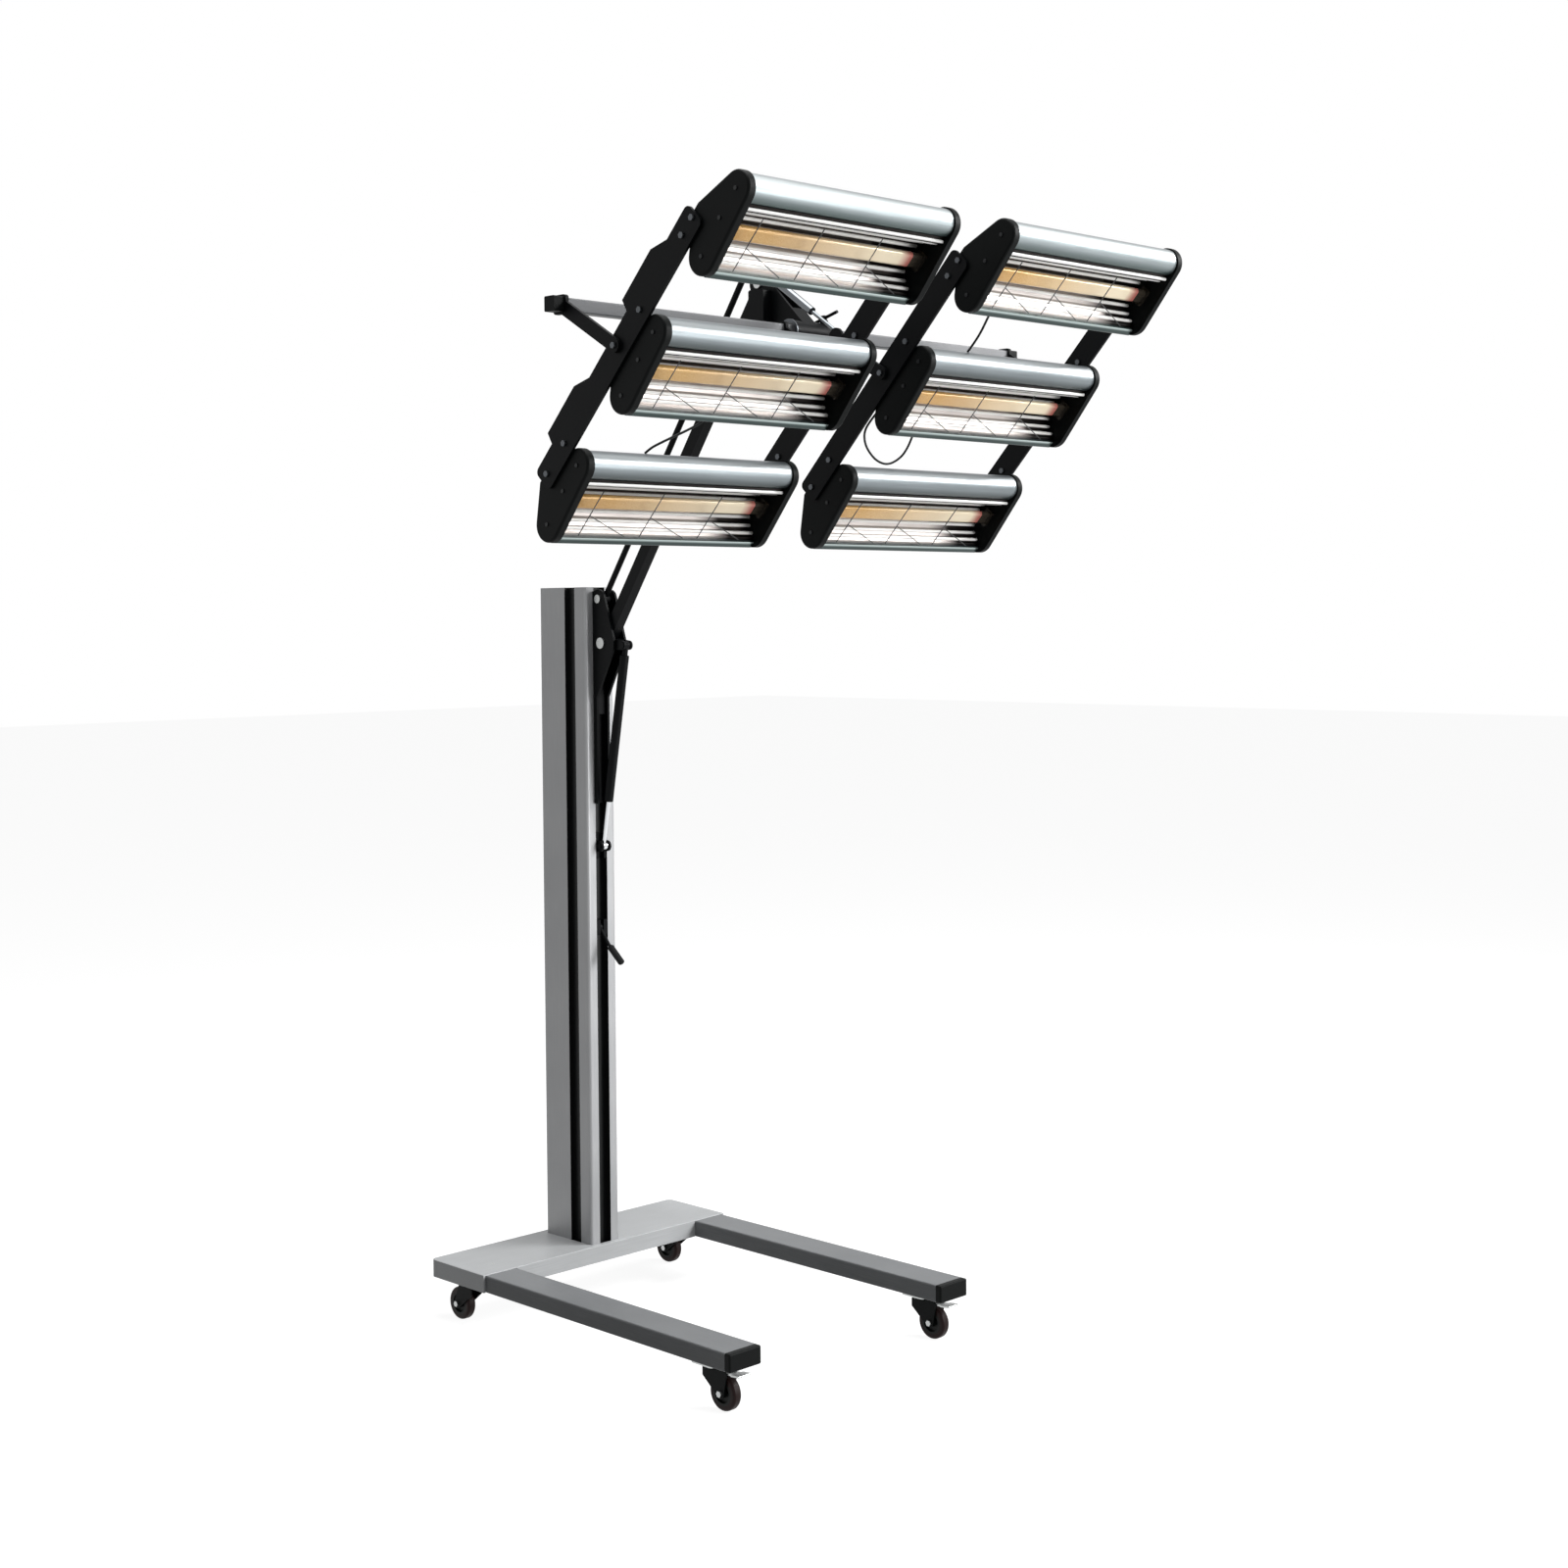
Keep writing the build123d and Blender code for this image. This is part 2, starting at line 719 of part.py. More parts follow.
with BuildPart() as ear_bolt:
    with BuildSketch(side_plane()):
        with Locations(flat(strut_head)):
            Circle(ear_bolt_diameter / 2)
    extrude(amount=main_link_width / 2, both=True)
    for side in sides.values():
        with BuildSketch(side_plane(side * main_link_width / 2)):
            with Locations(flat(strut_head)):
                Circle(ear_bolt_head_diameter / 2)
        extrude(amount=side * ear_bolt_head_height)
ear_bolt.part.label = "ear_bolt"
export_step(ear_bolt.part, "parts/ear_bolt.step")

with BuildPart() as rear_link:
    strut_tube(rear_pivot, head_rear_pivot, 0, arm_length, rear_link_diameter / 2)
    for end in (rear_pivot, head_rear_pivot):
        with BuildSketch(side_plane()):
            with Locations(flat(end)):
                Circle(rear_eye_radius)
        extrude(amount=rear_eye_width / 2, both=True)
    with BuildSketch(side_plane()):
        with Locations(flat(rear_pivot), flat(head_rear_pivot)):
            Circle(rear_pin_diameter / 2 + running_fit)
    extrude(amount=rear_eye_width, both=True, mode=Mode.SUBTRACT)
rear_link.part.label = "rear_link"
export_step(rear_link.part, "parts/rear_link.step")

strut_end = strut_start + strut_length
strut_span = (strut_foot - strut_head).length

with BuildPart() as strut_cylinder:
    strut_tube(strut_head, strut_foot, 0, strut_end - overrun, strut_neck_diameter / 2)
    strut_tube(strut_head, strut_foot, strut_start, strut_end, strut_diameter / 2)
    fillet(strut_cylinder.edges().filter_by(GeomType.CIRCLE).group_by(SortBy.RADIUS)[-1], strut_round)
    with BuildSketch(side_plane()):
        with Locations(flat(strut_head)):
            Circle(strut_eye_radius)
    extrude(amount=strut_eye_half, both=True)
    with BuildSketch(side_plane()):
        with Locations(flat(strut_head)):
            Circle(ear_bolt_diameter / 2 + running_fit)
    extrude(amount=main_link_width, both=True, mode=Mode.SUBTRACT)
    with BuildSketch(strut_plane(strut_head, strut_foot)):
        bore_radius = strut_rod_diameter / 2 + running_fit
        with Locations(((strut_bore_start + strut_end + overrun) / 2, bore_radius / 2)):
            Rectangle(strut_end + overrun - strut_bore_start, bore_radius)
    revolve(axis=Axis(strut_head, strut_foot - strut_head), mode=Mode.SUBTRACT)
strut_cylinder.part.label = "strut_cylinder"
export_step(strut_cylinder.part, "parts/strut_cylinder.step")

with BuildPart() as strut_rod:
    strut_tube(strut_head, strut_foot, strut_end - strut_rod_inside, strut_span, strut_rod_diameter / 2)
    with BuildSketch(side_plane()):
        with Locations(flat(strut_foot)):
            Circle(strut_eye_radius)
    extrude(amount=strut_foot_half, both=True)
    with BuildSketch(side_plane()):
        with Locations(flat(strut_foot)):
            Circle(ear_bolt_diameter / 2)
    extrude(amount=strut_foot_pin_half, both=True)
strut_rod.part.label = "strut_rod"
export_step(strut_rod.part, "parts/strut_rod.step")

# Head bracket: cheeks, a front web and a wide saddle, with the barrel that carries the cross bar
web_front = strut_plane(spring_head, head_rear_pivot).y_dir
web_low = spring_head + web_front * (head_spring_radius - head_web)
web_high = head_rear_pivot + web_front * (head_rear_radius - head_web)
web_run = (web_high - web_low).length
clamp_axis = Vector(0, sin(radians(clamp_lean)), cos(radians(clamp_lean)))
clamp_across = Vector(0, cos(radians(clamp_lean)), -sin(radians(clamp_lean)))
clamp_foot = tilt_axis + along * clamp_x + Vector(0, -clamp_offset, 0)
clamp_plane = Plane(origin=clamp_foot, x_dir=along, z_dir=clamp_axis)

with BuildPart() as head_bracket:
    with BuildSketch(side_plane()):
        with Locations(flat(head_main_pivot)):
            Circle(head_main_radius)
        with Locations(flat(head_rear_pivot)):
            Circle(head_rear_radius)
        with Locations(flat(spring_head)):
            Circle(head_spring_radius)
        make_hull()
    extrude(amount=bracket_width / 2, both=True)
    with BuildSketch(side_plane()):
        with Locations(flat(head_main_pivot)):
            Circle(head_main_radius)
        with Locations(flat(tilt_axis)):
            Circle(barrel_radius)
        make_hull()
    extrude(amount=bracket_width / 2, both=True)
    with BuildSketch(side_plane(-saddle_left)):
        with Locations(flat(head_main_pivot + Vector(0, -saddle_forward, -saddle_drop))):
            RectangleRounded(saddle_depth, saddle_height, saddle_round)
    extrude(amount=saddle_left + saddle_right)
    with BuildSketch(strut_plane(web_low, web_high)):
        with Locations((web_run / 2, -web_run / 2)):
            Rectangle(3 * web_run, web_run)
    extrude(amount=cheek_inner, both=True, mode=Mode.SUBTRACT)
    with BuildSketch(side_plane(-barrel_left)):
        with Locations(flat(tilt_axis)):
            Circle(barrel_radius)
    extrude(amount=barrel_left + barrel_right)
    with BuildSketch(clamp_plane):
        Circle(clamp_boss_diameter / 2)
    extrude(amount=clamp_boss_top)
    with BuildSketch(side_plane()):
        with Locations(flat(tilt_axis)):
            Circle(journal_radius + bush_wall + 2 * running_fit)
    extrude(amount=barrel_left + barrel_right, both=True, mode=Mode.SUBTRACT)
    with BuildSketch(clamp_plane):
        Circle(clamp_stud_diameter / 2 + running_fit)
    extrude(amount=clamp_boss_top + overrun, mode=Mode.SUBTRACT)
    with BuildSketch(side_plane()):
        with Locations(flat(head_main_pivot)):
            Circle(head_pin_diameter / 2 + running_fit)
        with Locations(flat(head_rear_pivot), flat(spring_head)):
            Circle(rear_pin_diameter / 2 + running_fit)
    extrude(amount=bracket_width, both=True, mode=Mode.SUBTRACT)
head_bracket.part.label = "head_bracket"
export_step(head_bracket.part, "parts/head_bracket.step")

spring_pin_end = -spring_x + spring_eye_half + seat_gap
with BuildPart() as head_pins:
    cross_pin(head_main_pivot, head_pin_diameter, bracket_width / 2)
    cross_pin(head_rear_pivot, rear_pin_diameter, bracket_width / 2)
    with BuildSketch(side_plane(bracket_width / 2)):
        with Locations(flat(spring_head)):
            Circle(spring_pin_diameter / 2)
    extrude(amount=-spring_pin_end - bracket_width / 2)
    with BuildSketch(side_plane(bracket_width / 2), side_plane(-spring_pin_end - pin_head_height)):
        with Locations(flat(spring_head)):
            Circle(spring_pin_diameter / 2 + pin_head_rim)
    extrude(amount=pin_head_height)
head_pins.part.label = "head_pins"
export_step(head_pins.part, "parts/head_pins.step")

with BuildPart() as bearing_bushes:
    for end, side in ((-barrel_left, -1), (barrel_right, 1)):
        with BuildSketch(side_plane(end)):
            with Locations(flat(tilt_axis)):
                Circle(journal_radius + bush_wall + running_fit)
        extrude(amount=-side * bush_length)
        with BuildSketch(side_plane(end)):
            with Locations(flat(tilt_axis)):
                Circle(bush_flange_radius)
        extrude(amount=side * bush_flange)
    with BuildSketch(side_plane()):
        with Locations(flat(tilt_axis)):
            Circle(journal_radius + running_fit)
    extrude(amount=barrel_left + barrel_right, both=True, mode=Mode.SUBTRACT)
bearing_bushes.part.label = "bearing_bushes"
export_step(bearing_bushes.part, "parts/bearing_bushes.step")

with BuildPart() as clamp_handle:
    with BuildSketch(clamp_plane.offset(clamp_stud_tip)):
        Circle(clamp_stud_diameter / 2)
    extrude(amount=clamp_boss_top + seat_gap + clamp_hub_height - clamp_stud_tip)
    with BuildSketch(clamp_plane.offset(clamp_boss_top + seat_gap)):
        Circle(clamp_hub_diameter / 2)
    extrude(amount=clamp_hub_height)
    fillet(clamp_handle.faces().sort_by(Axis(clamp_foot, clamp_axis))[-1].edges(), clamp_hub_height / 4)
    bar_height = clamp_boss_top + seat_gap + clamp_hub_height / 2
    bar_centre = clamp_foot + clamp_axis * bar_height + clamp_across * clamp_bar_offset
    with BuildSketch(Plane(origin=bar_centre, z_dir=clamp_across)):
        Circle(clamp_bar_diameter / 2)
    extrude(amount=clamp_bar_length / 2, both=True)
clamp_handle.part.label = "clamp_handle"
export_step(clamp_handle.part, "parts/clamp_handle.step")

# Gas spring that carries the tilt
spring_offset = along * spring_x
spring_a = spring_head + spring_offset
spring_b = spring_foot + spring_offset
spring_span = (spring_b - spring_a).length
spring_end = spring_start + spring_length

with BuildPart() as tilt_cylinder:
    strut_tube(spring_a, spring_b, 0, spring_end - overrun, spring_neck_diameter / 2)
    strut_tube(spring_a, spring_b, spring_start, spring_end, spring_diameter / 2)
    with BuildSketch(side_plane(spring_x)):
        with Locations(flat(spring_a)):
            Circle(spring_eye_radius)
    extrude(amount=spring_eye_half, both=True)
    with BuildSketch(strut_plane(spring_a, spring_b)):
        bore_radius = spring_rod_diameter / 2 + running_fit
        with Locations(((spring_bore_start + spring_end + overrun) / 2, bore_radius / 2)):
            Rectangle(spring_end + overrun - spring_bore_start, bore_radius)
    revolve(axis=Axis(spring_a, spring_b - spring_a), mode=Mode.SUBTRACT)
    with BuildSketch(side_plane(spring_x)):
        with Locations(flat(spring_a)):
            Circle(spring_pin_diameter / 2 + running_fit)
    extrude(amount=2 * spring_eye_half, both=True, mode=Mode.SUBTRACT)
tilt_cylinder.part.label = "tilt_cylinder"
export_step(tilt_cylinder.part, "parts/tilt_cylinder.step")

with BuildPart() as tilt_rod:
    strut_tube(spring_a, spring_b, spring_end - spring_rod_inside, spring_span, spring_rod_diameter / 2)
    with BuildSketch(side_plane(spring_x)):
        with Locations(flat(spring_b)):
            Circle(spring_eye_radius)
    extrude(amount=spring_eye_half, both=True)
tilt_rod.part.label = "tilt_rod"
export_step(tilt_rod.part, "parts/tilt_rod.step")

# Lamp head frame: cross bar, yoke arms and four rails
bar_plane = Plane(origin=tilt_axis, x_dir=Vector(0, 0, 1), z_dir=along)

with BuildPart() as cross_bar:
    with BuildSketch(bar_plane):
        RectangleRounded(bar_side, bar_side, bar_round)
    extrude(amount=bar_end, both=True)
    with BuildSketch(bar_plane.offset(-barrel_left - bush_flange)):
        Circle(journal_radius)
    extrude(amount=barrel_left + barrel_right + 2 * bush_flange)
    with BuildSketch(bar_plane):
        RectangleRounded(bar_side - 2 * bar_wall, bar_side - 2 * bar_wall, bar_round - bar_wall)
    extrude(amount=2 * bar_end, both=True, mode=Mode.SUBTRACT)
cross_bar.part.label = "cross_bar"
export_step(cross_bar.part, "parts/cross_bar.step")

with BuildPart() as bar_end_caps:
    for side in sides.values():
        with BuildSketch(bar_plane.offset(side * (yoke_outer_x + yoke_plate))):
            RectangleRounded(bar_end_side, bar_end_side, bar_round)
            RectangleRounded(
                bar_side + 2 * running_fit, bar_side + 2 * running_fit, bar_round, mode=Mode.SUBTRACT
            )
        extrude(amount=side * bar_overhang)
        with BuildSketch(bar_plane.offset(side * bar_end)):
            RectangleRounded(bar_end_side, bar_end_side, bar_round)
        extrude(amount=side * bar_end_wall)
bar_end_caps.part.label = "bar_end_caps"
export_step(bar_end_caps.part, "parts/bar_end_caps.step")

# In the head's own plane, as (up, outward) from the head's centre
bar_place = (-head_up_reach, -head_out_reach)
joint_place = (yoke_joint_u, -yoke_joint_n)

with BuildPart() as yoke_arms:
    for side in sides.values():
        for face_x, grow in ((yoke_outer_x, 1), (yoke_inner_x, -1)):
            with BuildSketch(head_plane(side * face_x)):
                with Locations(bar_place):
                    Circle(yoke_width / 2)
                with Locations(joint_place):
                    Circle(yoke_width / 2)
                make_hull()
                with Locations(bar_place):
                    RectangleRounded(yoke_eye_side, yoke_eye_side, yoke_eye_round, rotation=-head_tilt)
                with Locations(bar_place):
                    RectangleRounded(
                        bar_side + 2 * running_fit,
                        bar_side + 2 * running_fit,
                        bar_round,
                        rotation=-head_tilt,
                        mode=Mode.SUBTRACT,
                    )
                with Locations(joint_place):
                    Circle(bolt_diameter / 2 + running_fit, mode=Mode.SUBTRACT)
            extrude(amount=side * grow * yoke_plate)
yoke_arms.part.label = "yoke_arms"
export_step(yoke_arms.part, "parts/yoke_arms.step")

spring_lug_u = (spring_foot - head_centre).dot(head_up)
spring_lug_n = (spring_foot - head_centre).dot(head_out)
lug_stud_end = -spring_x + spring_eye_half + seat_gap


def rail_outline(tabs, lug):
    """Rail profile, with the stepped tabs of the outer left rail or the spring's lug."""
    with Locations(((rail_top - rail_bottom) / 2, -(rail_front + rail_back) / 2)):
        RectangleRounded(rail_top + rail_bottom, rail_back - rail_front, rail_end_round)
    if tabs:
        for row in (0, -1):
            shift = row * row_pitch
            Polygon(
                (shift + rail_tab_high, -rail_back),
                (shift + rail_tab_shoulder, -rail_back - rail_tab_depth),
                (shift + rail_tab_low, -rail_back - rail_tab_depth),
                (shift + rail_tab_foot, -rail_back),
                (shift + rail_tab_foot, -rail_front - rail_end_round),
                (shift + rail_tab_high, -rail_front - rail_end_round),
                align=None,
            )
    if lug:
        with Locations((spring_lug_u, spring_lug_n)):
            Circle(2 * spring_eye_radius)


# Bolts between the cassettes have nuts, and the others screw into the end caps
nut_heights = (row_bolt, row_bolt - row_pitch)
bolt_heights = (*top_bolts, *nut_heights, low_bolt - row_pitch)
rail_faces = {
    "left_outer_rail": (-rail_outer_x, -1),
    "left_inner_rail": (-cap_inner, 1),
    "right_inner_rail": (cap_inner, -1),
    "right_outer_rail": (rail_outer_x, 1),
}
for rail_name, (face_x, grow) in rail_faces.items():
    with BuildPart() as rail:
        with BuildSketch(head_plane(face_x)):
            rail_outline(tabs=rail_name == "left_outer_rail", lug=rail_name == "left_inner_rail")
            with Locations(joint_place, *((height, -rail_bolt_line) for height in bolt_heights)):
                Circle(bolt_diameter / 2 + running_fit, mode=Mode.SUBTRACT)
        extrude(amount=grow * rail_thickness)
        if rail_name == "left_inner_rail":
            with BuildSketch(head_plane(-yoke_inner_x)):
                with Locations((spring_lug_u, spring_lug_n)):
                    Circle(spring_pin_diameter / 2)
            extrude(amount=yoke_inner_x - lug_stud_end)
    rail.part.label = rail_name
    export_step(rail.part, f"parts/{rail_name}.step")

# Cassettes: folded and extruded housings, mirror reflectors, quartz lamps and end caps
bank_centres = {side_name: side * bank_x for side_name, side in sides.items()}
half_length = cassette_length / 2

for row_name, row in rows.items():
    for side_name, centre_x in bank_centres.items():
        with BuildPart() as housing:
            with BuildSketch(head_plane(centre_x, row)):
                with Locations((roll_u, roll_n)):
                    Circle(roll_radius)
                with Locations(((back_top - back_bottom) / 2, -back_depth / 2)):
                    Rectangle(back_top + back_bottom, back_depth)
                with Locations((-rail_box_bottom + rail_box_depth / 2, -rail_box_depth / 2)):
                    RectangleRounded(rail_box_depth, rail_box_depth, rail_box_corner)
                make_hull()
                offset(amount=-housing_wall, mode=Mode.SUBTRACT)
                with Locations(((roll_u - rail_box_top) / 2, 0)):
                    Rectangle(roll_u + rail_box_top, rail_box_depth, mode=Mode.SUBTRACT)
                with Locations((roll_u, roll_n)):
                    Circle(roll_radius)
                    Circle(roll_radius - housing_wall, mode=Mode.SUBTRACT)
                with Locations(((-rail_box_top - rail_box_bottom) / 2, -rail_box_depth / 2)):
                    RectangleRounded(rail_box_bottom - rail_box_top, rail_box_depth, rail_box_corner)
            extrude(amount=half_length, both=True)
        housing.part.label = f"{row_name}_{side_name}_housing"
        export_step(housing.part, f"parts/{row_name}_{side_name}_housing.step")


def reflector_curve(inset):
    """Fluted half-ellipse points from the lower lip round the back to the upper lip."""
    points = []
    for step in range(2 * flute_count + 1):
        angle = pi * step / (2 * flute_count)
        dent = inset + (flute_depth if step % 2 else 0)
        points.append(
            (
                reflector_u - (reflector_half_height - dent) * cos(angle),
                reflector_n - (reflector_depth - dent) * sin(angle),
            )
        )
    return points


for side_name, centre_x in bank_centres.items():
    with BuildPart() as reflectors:
        for row in rows.values():
            with BuildSketch(head_plane(centre_x, row)):
                Polygon(*reflector_curve(0), *reversed(reflector_curve(reflector_sheet)), align=None)
                upper_lip = reflector_u + reflector_half_height
                lower_lip = reflector_u - reflector_half_height
                lip_seat = roll_u - (roll_radius**2 - (roll_n - reflector_n) ** 2) ** 0.5 - seat_gap
                upper_middle = (upper_lip - reflector_sheet + lip_seat) / 2
                with Locations((upper_middle, reflector_n + reflector_lip / 2)):
                    Rectangle(lip_seat - upper_lip + reflector_sheet, reflector_lip)
                box_seat = -rail_box_top + seat_gap
                lower_middle = (lower_lip + reflector_sheet + box_seat) / 2
                with Locations((lower_middle, reflector_n + reflector_lip / 2)):
                    Rectangle(lower_lip + reflector_sheet - box_seat, reflector_lip)
            extrude(amount=half_length, both=True)
    reflectors.part.label = f"{side_name}_reflectors"
    export_step(reflectors.part, f"parts/{side_name}_reflectors.step")

for side_name, centre_x in bank_centres.items():
    with BuildPart() as lamps:
        for row in rows.values():
            tube_half = half_length - lamp_holder_length - seat_gap
            with BuildSketch(head_plane(centre_x, row)):
                with Locations((lamp_u, lamp_n)):
                    SlotOverall(lamp_height, lamp_thickness)
                    with GridLocations(lamp_bore_spacing, 0, 2, 1):
                        Circle(lamp_bore / 2, mode=Mode.SUBTRACT)
            extrude(amount=tube_half, both=True)
            for side in sides.values():
                with BuildSketch(head_plane(centre_x + side * half_length, row)):
                    with Locations((lamp_u, lamp_n)):
                        RectangleRounded(lamp_holder_height, lamp_holder_depth, rail_box_corner)
                extrude(amount=-side * lamp_holder_length)
    lamps.part.label = f"{side_name}_lamps"
    export_step(lamps.part, f"parts/{side_name}_lamps.step")

for side_name, centre_x in bank_centres.items():
    with BuildPart() as end_caps:
        for row in rows.values():
            for side in sides.values():
                with BuildSketch(head_plane(centre_x + side * half_length, row)):
                    with Locations((cap_upper_u, cap_upper_n)):
                        Circle(cap_upper_radius)
                    with Locations((cap_lower_u, cap_lower_n)):
                        Circle(cap_lower_radius)
                    with Locations(((cap_pad_top - cap_pad_bottom) / 2, -cap_pad_back / 2)):
                        Rectangle(cap_pad_top + cap_pad_bottom, cap_pad_back)
                    make_hull()
                extrude(amount=side * end_cap_thickness)
        fillet(end_caps.faces().group_by(Axis.X)[0].edges(), end_cap_round)
        fillet(end_caps.faces().group_by(Axis.X)[-1].edges(), end_cap_round)
    end_caps.part.label = f"{side_name}_end_caps"
    export_step(end_caps.part, f"parts/{side_name}_end_caps.step")

with BuildPart() as rail_bolts:
    for face_x, grow in rail_faces.values():
        with BuildSketch(head_plane(face_x)):
            with Locations([(height, -rail_bolt_line) for height in bolt_heights]):
                Circle(bolt_diameter / 2)
        extrude(amount=grow * rail_thickness)
        with BuildSketch(head_plane(face_x + grow * rail_thickness)):
            with Locations([(height, -rail_bolt_line) for height in bolt_heights]):
                RegularPolygon(bolt_head_diameter / 2, 6)
        extrude(amount=grow * bolt_head_height)
        with BuildSketch(head_plane(face_x)):
            with Locations([(height, -rail_bolt_line) for height in nut_heights]):
                RegularPolygon(bolt_head_diameter / 2, 6)
        extrude(amount=-grow * bolt_head_height)
        with BuildSketch(head_plane(face_x)):
            with Locations(joint_place):
                Circle(bolt_diameter / 2)
        extrude(amount=grow * (rail_thickness + yoke_plate))
        with BuildSketch(head_plane(face_x + grow * (rail_thickness + yoke_plate))):
            with Locations(joint_place):
                RegularPolygon(bolt_head_diameter / 2, 6)
        extrude(amount=grow * bolt_head_height)
rail_bolts.part.label = "rail_bolts"
export_step(rail_bolts.part, "parts/rail_bolts.step")

# Lamp cords: sleeved cables that hang behind the cassettes
cord_routes = (
    (cord_top_depth, upper_cord_route),
    (cord_loop_depth, loop_cord_route),
    (cord_top_depth, left_cord_route),
)


def cord_radii(points):
    """Bend radii that leave a tenth of each run straight at its middle."""
    radii = []
    for before, corner, after in zip(points, points[1:], points[2:]):
        first = corner - before
        second = after - corner
        turn = radians(first.get_angle(second))
        radii.append(arc_share * min(first.length, second.length) / tan(turn / 2))
    return radii


with BuildPart() as lamp_cords:
    for depth, route in cord_routes:
        cord_points = [head_centre + along * x + head_up * u - head_out * depth for x, u in route]
        bend_radii = cord_radii(cord_points)
        with BuildLine():
            cord_path = FilletPolyline(*cord_points, radius=bend_radii)
        with BuildSketch(Plane(origin=cord_points[0], z_dir=cord_points[1] - cord_points[0])):
            Circle(cord_diameter / 2)
        sweep(path=cord_path)
lamp_cords.part.label = "lamp_cords"
export_step(lamp_cords.part, "parts/lamp_cords.step")

# Casters: plate with kingpin, swivel fork, axle, wheel and, in front, a brake pedal
wheel_radius = wheel_diameter / 2
arm_inner = wheel_width / 2 + wheel_side_gap
arm_outer = arm_inner + fork_plate
casters = {
    f"{end_name}_{side_name}": (side * leg_x, swivel_y, trail)
    for end_name, swivel_y, trail in (("front", front_caster_y, -1), ("rear", rear_caster_y, 1))
    for side_name, side in sides.items()
}

with BuildPart() as caster_plates:
    for swivel_x, swivel_y, trail in casters.values():
        with BuildSketch(Plane.XY.offset(plate_bottom)):
            with Locations((swivel_x, swivel_y)):
                RectangleRounded(caster_plate_width, caster_plate_length, caster_plate_corner)
        extrude(amount=caster_plate_thickness)
        nut_top = fork_clearance - seat_gap
        with BuildSketch(Plane.XY.offset(nut_top)):
            with Locations((swivel_x, swivel_y)):
                Circle(kingpin_diameter / 2)
        extrude(amount=plate_bottom - nut_top)
        with BuildSketch(Plane.XY.offset(nut_top)):
            with Locations((swivel_x, swivel_y)):
                Circle(kingpin_nut_diameter / 2)
        extrude(amount=-kingpin_nut_height)
caster_plates.part.label = "caster_plates"
export_step(caster_plates.part, "parts/caster_plates.step")

